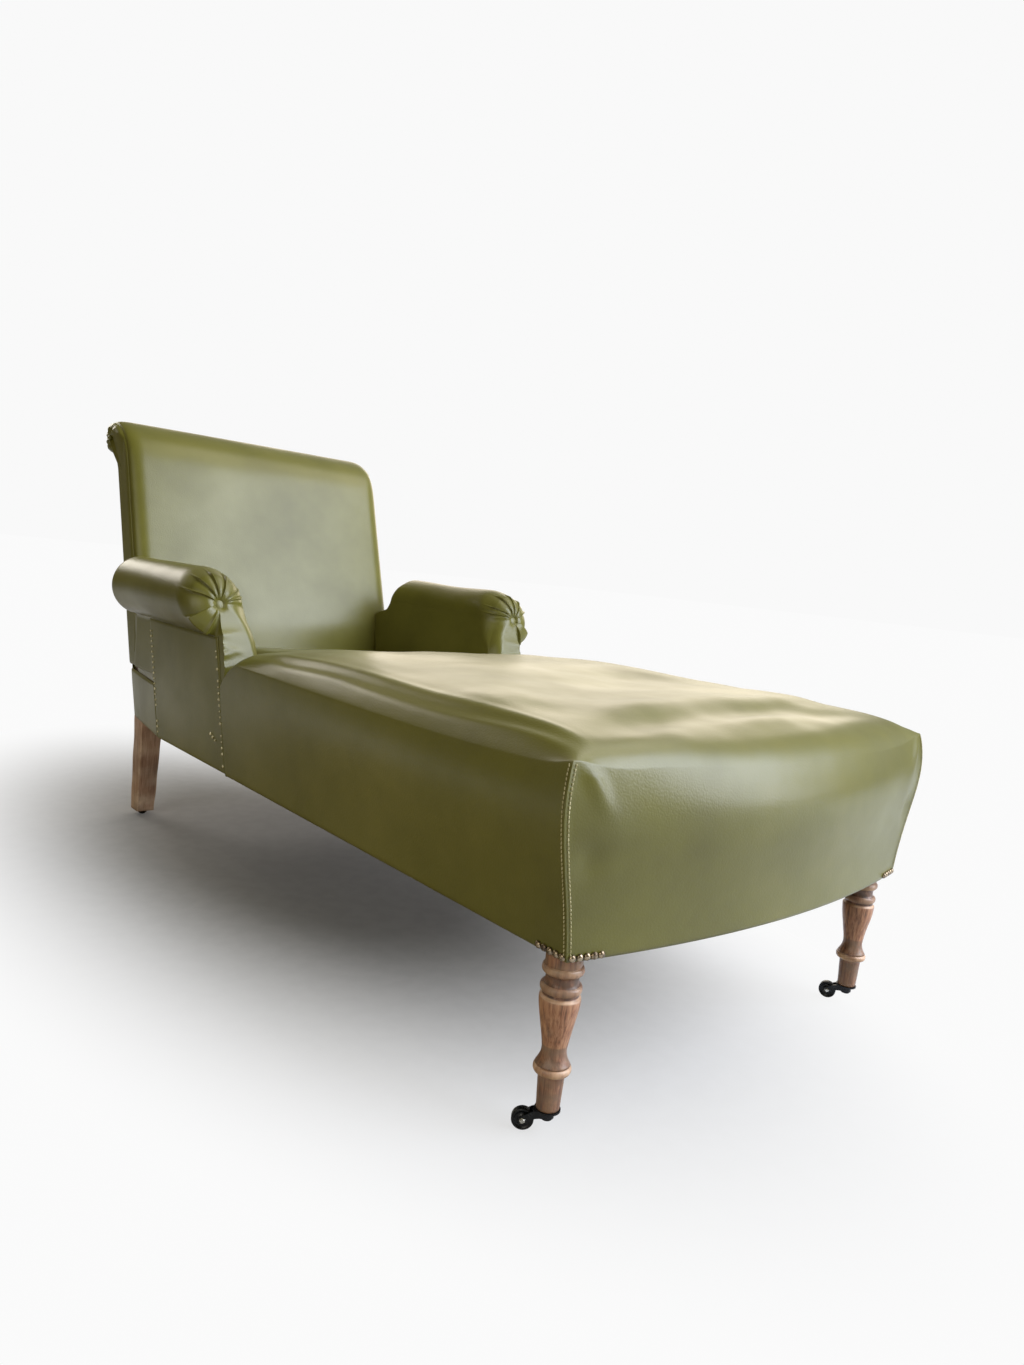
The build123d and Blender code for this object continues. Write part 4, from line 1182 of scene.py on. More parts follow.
@dataclass
class Arm:
    """A roll arm: a leaning inside face, the roll, and a front gathered in pleats round a covered button."""

    side: Side
    inner_bottom: float = 0.262
    bottom: float = 0.330
    roll_x: float = 0.337
    roll_z: float = 0.498
    roll_radius: float = 0.058
    outer_x: float = 0.3408
    end_y: float = 0.512
    end_dome: float = 0.016
    # Height, and the share of the way to the back that the rear end's inside reaches there
    end_slope: tuple[tuple[float, float], ...] = ((0.459, 1.0), (0.465, 0.96), (0.471, 0.62), (0.476, 0.34),
                                                  (0.492, 0.23), (0.515, 0.16), (0.533, 0.09), (0.546, 0.0))
    facing: float = 0.016
    facing_run: float = 0.050
    stem_swell: float = 0.006
    fan_drop: float = 0.006
    rim: float = 0.015
    rim_run: float = 0.034
    rim_slope: float = 47
    # Share of the rim's inset on the outer flat and on the stem, and the heights between which it grows
    flat_rim: float = 0.1
    stem_rim: float = 0.15
    rim_fade: tuple[float, float] = (0.425, 0.470)
    # Where the folds meet the rim, in degrees from straight up towards the outside
    folds: tuple[float, ...] = (-90, -72, -56, -19, 9, 36, 66, 163)
    pleat_rise: float = 0.0062
    # Height, rise and half width of each wrinkle in the stem
    wrinkles: tuple[tuple[float, float, float], ...] = ((0.437, 0.0036, 0.0052), (0.420, 0.0022, 0.0040),
                                                        (0.404, 0.0042, 0.0060), (0.383, 0.0028, 0.0050))
    button_radius: float = 0.0110
    button_dome: float = 0.0045
    button_back: float = 0.004
    button_lift: float = 0.0015
    button_sink: float = 0.55
    bulge: float = 0.004
    outer_step: float = 0.003
    pillow: float = 0.42
    lip: float = 0.85
    dimple: float = 0.008
    dimple_run: float = 0.010
    stem_drop: float = 0.030
    stem_fade: float = 0.04
    wrinkle_run: float = 0.050
    wrinkle_slant: float = 0.018
    slack: float = 0.0018
    fold_run: float = 0.014
    back_gap: float = 0.004

    def outline(self) -> np.ndarray:
        """The arm's closed outline, in X and Z, from the inner bottom round the roll to the outer bottom."""
        t = np.linspace(0, 1, 34)[:-1, None]
        foot = np.array([self.inner_bottom, self.bottom])
        shoulder = np.array([self.roll_x - self.roll_radius, self.roll_z])
        inner = foot + (shoulder - foot) * t
        inner[:, 0] -= self.bulge * np.sin(HALF_TURN * t[:, 0])
        under = -math.acos((self.outer_x + self.outer_step - self.roll_x) / self.roll_radius)
        angles = np.linspace(HALF_TURN, under, 220)
        roll = np.stack([self.roll_x + self.roll_radius * np.cos(angles),
                         self.roll_z + self.roll_radius * np.sin(angles)], -1)
        drop = np.linspace(roll[-1, 1], self.bottom, 30)[1:]
        outer = np.stack([np.full(len(drop), self.outer_x), drop], -1)
        floor_x = np.linspace(self.outer_x, self.inner_bottom, 16)[1:-1]
        floor = np.stack([floor_x, np.full(len(floor_x), self.bottom)], -1)
        return np.concatenate([inner, roll, outer, floor])

    def pleat(self, angle: np.ndarray, reach: np.ndarray) -> np.ndarray:
        """Height of the fan's folds.

        Args:
            angle: Degrees from straight up, towards the outside.
            reach: 0 at the button to 1 at the rim.

        Returns:
            Height above the facing's own surface.
        """
        wave = np.interp(angle, self.folds, np.arange(len(self.folds)))
        part = wave - np.floor(wave)
        pillow = self.pillow * np.sin(HALF_TURN * part) ** 0.6
        lip = self.lip * bell(part - 0.93, 0.055)
        first, last = self.folds[0], self.folds[-1]
        inside = smooth_step(angle, first - 6, first + 6) * smooth_step(last + 6 - angle, 0, 12)
        return self.pleat_rise * (pillow + lip) * inside * smooth_step(reach, 0.1, 0.55)

    def build(self) -> list[bpy.types.Object]:
        """Make the arm, without its button.

        Returns:
            The pieces.
        """
        line = self.outline()
        centre = np.array([self.roll_x, self.roll_z - self.fan_drop])
        spoke = line - centre
        distance = np.linalg.norm(spoke, axis=1)
        angle = np.degrees(np.arctan2(spoke[:, 0], spoke[:, 1]))
        # The outer flat keeps its edge against the outside panel
        on_flat = (line[:, 0] > self.outer_x - 1e-6) & (line[:, 1] < self.roll_z - 0.5 * self.roll_radius)
        above = self.stem_rim + (1 - self.stem_rim) * smooth_step(line[:, 1], *self.rim_fade)
        inset = self.rim * np.where(on_flat, self.flat_rim, above)
        work = Patchwork(f"arm_{self.side.label}")
        work.patch(self.front(line, spoke, distance, angle, inset), around=True)
        work.patch(self.body(line, spoke, distance, angle, inset), around=True)
        work.patch(self.rear(line, centre), around=True)
        for grid in work.points:
            grid[:, 0] *= self.side.value
        arm = work.piece(LEATHER, smooth=1)
        label = self.side.label
        declare(arm, "leathercloth", f"arm_cover_{label}", f"arm_stuffing_{label}", f"arm_facing_{label}")
        return [arm]

    def turn_out(self, spoke: np.ndarray, share: np.ndarray) -> np.ndarray:
        """Direction that the folds stand out in: forward on the face, out from the roll behind the rim.

        Args:
            spoke: Unit spokes, in X and Z.
            share: 0 on the face to 1 on the roll.

        Returns:
            Unit directions in XYZ.
        """
        lean = math.radians(ARM_FRONT.degrees)
        face = np.array([0.0, -math.cos(lean), math.sin(lean)])
        out = np.stack([spoke[:, 0], np.zeros(len(spoke)), spoke[:, 1]], -1)
        angle = share[..., None] * QUARTER_TURN
        return np.cos(angle) * face + np.sin(angle) * out

    def front(self, line: np.ndarray, spoke: np.ndarray, distance: np.ndarray, angle: np.ndarray,
              inset: np.ndarray) -> np.ndarray:
        """The gathered front, from the button out to the rim.

        Args:
            line: The outline, in X and Z.
            spoke: From the button to each point of it.
            distance: Each spoke's length.
            angle: Each spoke's degrees from straight up, towards the outside.
            inset: How far the rim is inside the outline.

        Returns:
            A grid that closes round its columns.
        """
        reach = 1 - (1 - np.linspace(0, 1, 60)) ** 1.4
        unit = spoke / distance[:, None]
        centre = line[0] - spoke[0]
        rim = line - unit * inset[:, None]
        flat = centre + (rim - centre) * reach[:, None, None]
        grid = np.stack([flat[..., 0], ARM_FRONT.at(flat[..., 1]), flat[..., 1]], -1)
        from_rim = (1 - reach[:, None]) * distance
        below = smooth_step(self.roll_z - self.stem_drop - flat[..., 1], 0, self.stem_fade)
        dome = 1 - (1 - np.clip(from_rim / self.facing_run, 0, 1)) ** 2.5
        lift = (self.facing + self.stem_swell * below) * dome
        lift -= self.dimple * bell(reach[:, None] * distance, self.dimple_run)
        outward = np.clip((self.outer_x - flat[..., 0]) / self.wrinkle_run, 0, 1)
        for place, rise, width in self.wrinkles:
            tilt = flat[..., 1] - place + (self.wrinkle_slant * np.sin(place * 900)) * outward
            lift += rise * bell(tilt, width) * below * (1 - outward) ** 1.3 * quarter_round(from_rim, 0.006)
        fold = self.pleat(angle, reach[:, None] * distance / self.roll_radius)
        share = 0.5 * smooth_step(reach, 0.7, 1.0)[:, None] * np.ones(len(line))
        face = self.turn_out(unit, np.zeros_like(share))
        return grid + lift[..., None] * face + fold[..., None] * self.turn_out(unit, share)

    def body(self, line: np.ndarray, spoke: np.ndarray, distance: np.ndarray, angle: np.ndarray,
             inset: np.ndarray) -> np.ndarray:
        """The arm's length, from its rim back to the rear end.

        Args:
            line: The outline, in X and Z.
            spoke: From the button to each point of it.
            distance: Each spoke's length.
            angle: Each spoke's degrees from straight up, towards the outside.
            inset: How far the rim is inside the outline.

        Returns:
            A grid that closes round its columns.
        """
        run = np.concatenate([0.14 * np.linspace(0, 1, 30)[:-1] ** 1.6, np.linspace(0.14, 1, 44)])
        unit = spoke / distance[:, None]
        start = ARM_FRONT.at(line[:, 1] - unit[:, 1] * inset)
        y = start + (self.end(*line.T) - start) * run[:, None]
        behind = y - start
        from_axis = np.hypot(line[:, 0] - self.roll_x, line[:, 1] - self.roll_z)
        on_roll = (np.abs(from_axis - self.roll_radius) < 1e-4).astype(float)
        x, z = (np.broadcast_to(values, y.shape) for values in line.T)
        waves = undulation(np.stack([x, y * 0.5, z], -1), 0.16, 5 + self.side.value)
        slack = self.slack * waves * on_roll * np.sin(HALF_TURN * run)[:, None]
        # The round starts at the facing's own slope, so that no crease shows at the rim
        slope = math.radians(self.rim_slope) + math.radians(ARM_FRONT.degrees) * np.cos(np.radians(angle))
        rounding = 2 * inset * np.tan(slope)
        out = slack - inset * (1 - np.clip(behind / rounding, 0, 1)) ** 2
        grid = np.stack([line[:, 0] + unit[:, 0] * out, y, line[:, 1] + unit[:, 1] * out], -1)
        fold = self.pleat(angle, np.ones_like(angle)) * np.exp(-(behind / self.fold_run) ** 1.5)
        return grid + fold[..., None] * self.turn_out(unit, 0.5 + 0.5 * smooth_step(behind, 0, self.rim_run))

    def end(self, x: np.ndarray, z: np.ndarray) -> np.ndarray:
        """Y of the rear end: upright outside, and on the inside slanting down to lie against the back."""
        against = np.clip(BACK_FRONT.at(z) - self.back_gap - self.end_y, 0, None)
        inside = smooth_step(self.roll_x + 0.010 - x, 0, 0.050)
        heights, shares = np.transpose(self.end_slope)
        return self.end_y + against * inside * np.interp(z, heights, shares)

    def rear(self, line: np.ndarray, centre: np.ndarray) -> np.ndarray:
        """The domed rear end."""
        middle = np.array([centre[0] - 0.01, centre[1] - 0.04])
        shrink = np.cos(np.linspace(0, 1, 18) * QUARTER_TURN)
        flat = middle + (line - middle) * shrink[:, None, None]
        x, z = flat[..., 0], flat[..., 1]
        y = self.end(x, z) + self.end_dome * np.sqrt(1 - shrink[:, None] ** 2)
        return np.stack([x, y, z], -1)

    def button(self) -> np.ndarray:
        """The covered button in the middle of the pleats, as a turned grid."""
        r, high, back = self.button_radius, self.button_dome, self.button_back
        dome = [(r * math.sin(a), high * math.cos(a)) for a in np.linspace(0.1, 1.5, 10)]
        outline = np.array([(0.0, high), *dome, (r, -back / 2), (r * 0.9, -back), (0.0, -back)])
        turn = Matrix.Rotation(math.radians(90 - ARM_FRONT.degrees), 4, "X")
        z = self.roll_z - self.fan_drop
        y = ARM_FRONT.at(z) - self.facing * self.button_sink
        place = Matrix.Translation((self.side.value * self.roll_x, y, z + self.button_lift))
        return turned(lathe(outline, 40), place @ turn)


@dataclass
class Back:
    """The raked back: a crowned inside face that rolls over its crest into a scroll with gathered ends."""

    half_width: float = 0.312
    foot: float = 0.322
    crest: float = 0.765
    scroll_y: float = 0.7979
    scroll_z: float = 0.805
    scroll_radius: float = 0.042
    crown: float = 0.012
    edge_set: float = 0.018
    edge_round: float = 0.030
    soften: float = 0.010
    # Degrees from +Y where the scroll starts and ends
    scroll_start: float = 104.0
    scroll_end: float = -126.0
    # Handles of the curve that leads over the crest
    handles: tuple[float, float] = (0.052, 0.036)
    facing: float = 0.011
    facing_round: float = 0.014
    pleats: int = 9
    pleat_rise: float = 0.0035
    dimple: float = 0.004
    boxing: float = 0.004
    boxing_round: float = 0.012
    # Where the foot of the face is drawn back: height, run and depth
    foot_tuck: tuple[float, float, float] = (0.44, 0.11, 0.014)
    button_radius: float = 0.006
    button_dome: float = 0.004

    def profile(self) -> np.ndarray:
        """The side view, in Y and Z: up the inside, over the crest, round the scroll."""
        slope = math.radians(BACK_FRONT.degrees)
        up = np.array([math.sin(slope), math.cos(slope)])
        z = np.linspace(self.foot, self.crest, 64)
        straight = np.stack([BACK_FRONT.at(z), z], -1)
        start = straight[-1]
        lead = math.radians(self.scroll_start)
        scroll = np.array([self.scroll_y, self.scroll_z])
        end = scroll + self.scroll_radius * np.array([math.cos(lead), math.sin(lead)])
        tangent = np.array([math.sin(lead), -math.cos(lead)])
        leave, arrive = self.handles
        crest = bezier(start, start + leave * up, end - arrive * tangent, end, 26)[1:]
        angles = np.radians(np.linspace(self.scroll_start, self.scroll_end, 66))[1:]
        curl = scroll + self.scroll_radius * np.stack([np.cos(angles), np.sin(angles)], -1)
        line = np.concatenate([straight, crest, curl])
        for _ in range(14):
            line[1:-1] += 0.5 * ((line[:-2] + line[2:]) / 2 - line[1:-1])
        return line

    def face(self, line: np.ndarray) -> np.ndarray:
        """The inside face, crest and scroll, across the width."""
        x = self.half_width * spread(91)
        from_edge = self.half_width - np.abs(x)
        short = 1 - quarter_round(from_edge, self.edge_round)
        bow = self.crown * (1 - (x / self.half_width) ** 2) - self.edge_set * short
        front = 1 - smooth_step(np.arange(len(line)), 48, 126)
        grid = np.empty((len(line), len(x), 3))
        grid[..., 0] = x
        grid[..., 1] = line[:, :1] - bow * front[:, None]
        grid[..., 2] = line[:, 1:]
        spoke = line - np.array([self.scroll_y, self.scroll_z])
        spoke /= np.linalg.norm(spoke, axis=1)[:, None]
        back_part = (1 - front)[:, None] * (self.soften * short)
        grid[..., 1] -= spoke[:, :1] * back_part
        grid[..., 2] -= spoke[:, 1:] * back_part
        level, run, depth = self.foot_tuck
        grid[..., 1] += smooth_step(level - line[:, 1], 0, run)[:, None] * depth
        return grid

    def cap(self, rim: np.ndarray, side: Side) -> np.ndarray:
        """One end of the back: the flat boxing, and the scroll's gathered end.

        Args:
            rim: The face's outer column.
            side: Which end.

        Returns:
            A grid from the rim in to the middle line.
        """
        scroll = np.array([self.scroll_y, self.scroll_z])
        z = np.linspace(self.scroll_z - self.scroll_radius * 0.7, self.foot, 40)[1:]
        low = np.stack([BACK_REAR.at(z), z], -1)
        under = np.array([[y, self.foot] for y in np.linspace(low[-1, 0], rim[0, 1], 12)[1:-1]])
        line = np.concatenate([rim[:, 1:], low, under])
        heart_z = np.minimum(line[:, 1], self.scroll_z - 0.075)
        heart = np.stack([(BACK_FRONT.at(heart_z) + BACK_REAR.at(heart_z)) / 2,
                          np.clip(heart_z, self.foot + 0.03, None)], -1)
        spoke = line - scroll
        distance = np.linalg.norm(spoke, axis=1)
        on_scroll = (distance < self.scroll_radius * 1.35) & (line[:, 1] > self.scroll_z - self.scroll_radius)
        heart[on_scroll] = scroll
        reach = 1 - np.linspace(0, 1, 22) ** 1.3
        flat = heart + (line - heart) * reach[:, None, None]
        grid = np.empty((len(reach), len(line), 3))
        grid[..., 1:] = flat
        span = np.linalg.norm(flat - line, axis=-1)
        angle = np.degrees(np.arctan2(spoke[:, 0], spoke[:, 1]))
        wave = angle / 360 * self.pleats
        part = wave - np.floor(wave)
        fold = np.where(part < 0.8, (part / 0.8) ** 2, ((1 - part) / 0.2) ** 0.8)
        gather = self.pleat_rise * fold * np.sin(HALF_TURN * np.clip(reach, 0, 1) ** 0.8)[:, None] ** 0.6
        dimple = self.dimple * bell(reach * self.scroll_radius, 0.01)[:, None]
        gathered = self.facing * quarter_round(span, self.facing_round) + gather - dimple
        boxing = self.boxing * quarter_round(span, self.boxing_round)
        grid[..., 0] = side.value * (self.half_width + np.where(on_scroll, gathered, boxing))
        return grid

    def build(self) -> list[bpy.types.Object]:
        """Make the back.

        Returns:
            The pieces.
        """
        work = Patchwork("back")
        face = self.face(self.profile())
        work.patch(face)
        for side, column in ((Side.LEFT, 0), (Side.RIGHT, -1)):
            work.patch(self.cap(face[:, column], side), around=True)
        back = work.piece(LEATHER, inside=(0, 0.70, 0.60), smooth=1)
        declare(back, "leathercloth", "back_cover", "back_stuffing", "back_webbing", "back_hessian",
                "scroll_facings")
        return [back]

    def button(self, side: Side) -> np.ndarray:
        """A covered button for one end of the scroll, as a turned grid."""
        r, high = self.button_radius, self.button_dome
        dome = [(r * math.sin(a), high * math.cos(a)) for a in np.linspace(0, QUARTER_TURN, 10)]
        outline = np.array([*dome, (r * 0.9, -high), (0.0, -high)])
        turn = Matrix.Rotation(side.value * math.radians(90), 4, "Y")
        place = (side.value * (self.half_width + self.facing + 0.001), self.scroll_y, self.scroll_z)
        return turned(lathe(outline, 28), Matrix.Translation(place) @ turn)


@dataclass
class Panels:
    """The flat cloth: outside arms, rear strips, outside back and dust cover, with their pins."""

    half_width: float = Seat.half_width
    low: float = 0.2123
    high: float = 0.4390
    strip_top: float = 0.3130
    strip_x: float = 0.3109
    puff: float = 0.0022
    edge_roll: float = 0.0022
    edge_run: float = 0.006
    slack: float = 0.0005
    front_lap: float = 0.0077
    rear_lap: float = 0.0004
    pin_count: int = 24

    def front_edge(self, z: np.ndarray) -> np.ndarray:
        """Y of the outside arm's front edge at height z."""
        return ARM_FRONT.at(z) - self.front_lap

    def blanket(self, left: np.ndarray, right: np.ndarray, count: int, normal: tuple[float, float, float],
                puff: float) -> np.ndarray:
        """A sheet between two edges, puffed a little and rolled in at its borders.

        Args:
            left: Points up one edge.
            right: Points up the other edge.
            count: Columns between them.
            normal: Outward direction.
            puff: How far the middle stands out.

        Returns:
            A grid of points.
        """
        across = eased(count)
        grid = left[:, None] + (right - left)[:, None] * across[:, None]
        u = np.minimum(across, 1 - across) * np.linalg.norm(right - left, axis=1)[:, None]
        climb = np.linalg.norm(left - left[0], axis=1)[:, None]
        v = np.minimum(climb, climb[-1] - climb) + 0 * u
        rounded = quarter_round(np.minimum(u, v), self.edge_run)
        belly = np.sin(HALF_TURN * across) * np.sin(HALF_TURN * climb / climb[-1])
        lift = self.edge_roll * (rounded - 1) + puff * belly + self.slack * undulation(grid, 0.13, 9) * rounded
        return grid + lift[..., None] * np.array(normal)

    def outside_arm(self, side: Side) -> bpy.types.Object:
        """One outside arm panel."""
        z = self.low + (self.high - self.low) * eased(60)
        x = np.full_like(z, side.value * self.half_width)
        front = np.stack([x, self.front_edge(z), z], -1)
        back = np.stack([x, PANEL_REAR.at(z), z], -1)
        work = Patchwork(f"outside_arm_panel_{side.label}")
        work.patch(self.blanket(front, back, 70, (side.value, 0, 0), self.puff))
        panel = work.piece(LEATHER, inside=(0, 0.3, 0.32))
        declare(panel, "leathercloth", f"outside_arm_{side.label}")
        return panel

    def pins(self) -> bpy.types.Object:
        """Gimp pins down both edges of each outside arm, and a few strays on the left one."""
        paths = []
        z = np.linspace(self.low + 0.012, self.high - 0.014, self.pin_count)
        wander = 0.0016 * np.sin(np.arange(self.pin_count) * 2.7)
        for side in Side:
            for edge, inset in ((self.front_edge(z), 0.0065), (PANEL_REAR.at(z), -0.0055)):
                x = np.full_like(z, side.value * (self.half_width + 0.0002))
                path = np.stack([x, edge + inset + wander, z], -1)
                paths.append((path, np.tile((side.value, 0, 0), (self.pin_count, 1))))
        z = np.array([0.262, 0.274])
        loose = np.stack([np.full(2, -self.half_width - 0.0012), ARM_FRONT.at(z) + (0.024, 0.050), z], -1)
        paths.append((loose, np.tile((-1, 0, 0), (2, 1))))
        row = Row("gimp_pins", PIN_GLINT_METAL, pitch=0.0105, length=0.0044, width=0.0044, rise=0.0030, jitter=0.35,
                  missing=0.2, seed=12)
        return declare(row.lay(paths), "brass")

    def rear_strip(self, side: Side) -> bpy.types.Object:
        """The strip round the rear corner, between the outside arm and the back."""
        z = np.linspace(self.low, self.strip_top, 30)
        x = np.full_like(z, side.value * self.half_width)
        front = np.stack([x, PANEL_REAR.at(z) + self.rear_lap, z], -1)
        back = np.stack([np.full_like(z, side.value * self.strip_x), BACK_REAR.at(z), z], -1)
        normal = np.cross(back[0] - front[0], (0, 0, 1.0))
        normal *= side.value * np.sign(normal[0]) / np.linalg.norm(normal)
        work = Patchwork(f"rear_strip_panel_{side.label}")
        work.patch(self.blanket(front, back, 46, tuple(normal), 0.003))
        # Above the strip's rear part, a flap runs up to the arm and ends a little behind the back's face
        z = np.linspace(self.strip_top + 0.001, self.high, 26)
        start, run = PANEL_REAR.at(z), BACK_REAR.at(z) - PANEL_REAR.at(z)
        edge = np.stack([np.full_like(z, side.value * (self.half_width - 0.001)), start + self.rear_lap, z], -1)
        share = np.clip((BACK_FRONT.at(z) + 0.012 - start) / run, 0, 1)
        x = side.value * (self.half_width - share * (self.half_width - self.strip_x))
        inner = np.stack([x, start + share * run, z], -1)
        work.patch(self.blanket(edge, inner, 26, tuple(normal), 0.001))
        strip = work.piece(LEATHER, inside=(0, 0.4, 0.32))
        declare(strip, "leathercloth", f"rear_strip_{side.label}")
        return strip

    def outside_back(self) -> bpy.types.Object:
        """The outside back, from under the scroll to the hem."""
        low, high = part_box("outside_back")
        z = np.linspace(low[2], high[2], 70)
        lean = math.radians(BACK_FRONT.degrees)
        normal = (0, math.cos(lean), -math.sin(lean))
        width = high[0]
        left = np.stack([np.full_like(z, -width), BACK_REAR.at(z) + 0.0026, z], -1)
        right = left * (-1, 1, 1)
        work = Patchwork("outside_back_panel")
        work.patch(self.blanket(left, right, 80, normal, 0.005))
        panel = work.piece(LEATHER, inside=(0, 0.3, 0.5))
        declare(panel, "leathercloth", "outside_back")
        return panel

    def dust_cover(self, seat: Seat) -> bpy.types.Object:
        """The dark cloth under the seat, which sags a little."""
        low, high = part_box("dust_cover")
        t = np.linspace(0, 1, 60)
        grid = np.empty((60, 41, 3))
        across = np.linspace(-1, 1, 41)
        grid[..., 0] = across * high[0]
        foot = seat.foot_line(grid[0, :, 0], seat.half_width) + 0.016
        grid[..., 1] = foot + (high[1] - foot) * t[:, None]
        grid[..., 2] = high[2] - 0.0012 - 0.010 * np.sin(HALF_TURN * t)[:, None] * (1 - across ** 2)
        work = Patchwork("dust_cover_sheet")
        work.patch(grid)
        sheet = work.piece(DUST_CLOTH, inside=(0, 0, 1.0))
        declare(sheet, "hessian", "dust_cover")
        return sheet


# Legs and castors


@dataclass
class FrontLegs:
    """Two turned legs: a plain foot, a ring, a vase, and two beads under the seat."""

    x: float = 0.315
    y: float = -0.7569
    foot_z: float = 0.028
    top_z: float = 0.212
    block: float = 0.044
    block_rise: float = 0.1

    def outline(self) -> tuple[np.ndarray, np.ndarray, np.ndarray]:
        """The turning, foot to top.

        Returns:
            Radius and height, and the darkening and wear at each point.
        """
        runs: list[tuple[np.ndarray, float, float]] = []

        def straight(start: tuple, end: tuple, stain: float, wear: float, count: int = 8) -> None:
            """Add a straight run."""
            t = np.linspace(0, 1, count)[:, None]
            runs.append((np.array(start) + (np.array(end) - np.array(start)) * t, stain, wear))

        def bead(z0: float, z1: float, radius: float, swell: float, stain: float, wear: float) -> None:
            """Add a bead, or a cove where swell is negative."""
            t = np.linspace(0, HALF_TURN, 14)
            r = radius + swell * np.sin(t)
            runs.append((np.stack([r, z0 + (z1 - z0) * (1 - np.cos(t)) / 2], -1), stain, wear))

        # Darkening is heaviest in the fillets, cove and neck and lightest on the vase's body: painted shade and
        # a painted highlight over the stain
        straight((0.0, self.foot_z), (0.0122, self.foot_z), 0.6, 0.5, 4)
        straight((0.0130, self.foot_z + 0.001), (0.0150, 0.068), 0.75, 0.12, 20)
        straight((0.0152, 0.0695), (0.0178, 0.0705), 0.9, 0.5, 4)
        bead(0.0708, 0.0800, 0.0180, 0.0034, 0.55, 0.85)
        vase = bezier(np.array((0.0196, 0.0805)), np.array((0.0150, 0.0880)), np.array((0.0128, 0.0935)),
                      np.array((0.0142, 0.1020)), 14)
        runs.append((vase, 0.75, 0.15))
        body = bezier(np.array((0.0142, 0.1020)), np.array((0.0158, 0.1160)), np.array((0.0225, 0.1400)),
                      np.array((0.0229, 0.1560)), 26)
        runs.append((body[1:], 0.12, 0.1))
        straight((0.0226, 0.1575), (0.0205, 0.1590), 0.5, 0.8, 4)
        straight((0.0200, 0.1605), (0.0200, 0.1630), 0.95, 0.0, 4)
        bead(0.1632, 0.1722, 0.0202, 0.0030, 0.8, 0.45)
        bead(0.1724, 0.1840, 0.0204, -0.0022, 0.95, 0.05)
        bead(0.1842, 0.1932, 0.0202, 0.0030, 0.75, 0.5)
        straight((0.0205, 0.1936), (0.0206, self.top_z), 0.7, 0.2, 10)
        line = np.concatenate([r[0] for r in runs])
        stain = np.concatenate([np.full(len(r[0]), r[1]) for r in runs])
        wear = np.concatenate([np.full(len(r[0]), r[2]) for r in runs])
        return line, stain, wear

    def build(self) -> bpy.types.Object:
        """Make both legs.

        Returns:
            The piece.
        """
        line, stain, wear = self.outline()
        work = Patchwork("front_leg_turnings")
        for side in Side:
            grid = lathe(line, 72, (side.value * self.x, self.y, 0))
            chatter = 0.00025 * undulation(grid, 0.03, 31 + side.value)
            grid[..., :2] += (grid[..., :2] - (side.value * self.x, self.y)) * chatter[..., None] / 0.02
            patches = 0.5 + 0.5 * undulation(grid, 0.02, 41 + side.value)
            work.patch(grid, around=True, stain=np.clip(stain[:, None] * (0.75 + 0.4 * patches), 0, 1),
                       wear=np.clip(wear[:, None] * (0.3 + 1.3 * patches), 0, 1))
            half = self.block / 2
            ring = np.array([(half, half), (-half, half), (-half, -half), (half, -half)])
            high = self.top_z + self.block_rise
            levels = np.array([(0.0, self.top_z), (1.0, self.top_z), (1.0, high), (0.0, high)])
            block = np.empty((4, 4, 3))
            block[..., :2] = ring * levels[:, :1, None] + (side.value * self.x, self.y)
            block[..., 2] = levels[:, 1:]
            work.patch(block, around=True, stain=np.full((4, 4), 0.4), wear=np.zeros((4, 4)))
        legs = work.piece(TURNED_WOOD)
        return declare(legs, "turned_wood", "front_legs")


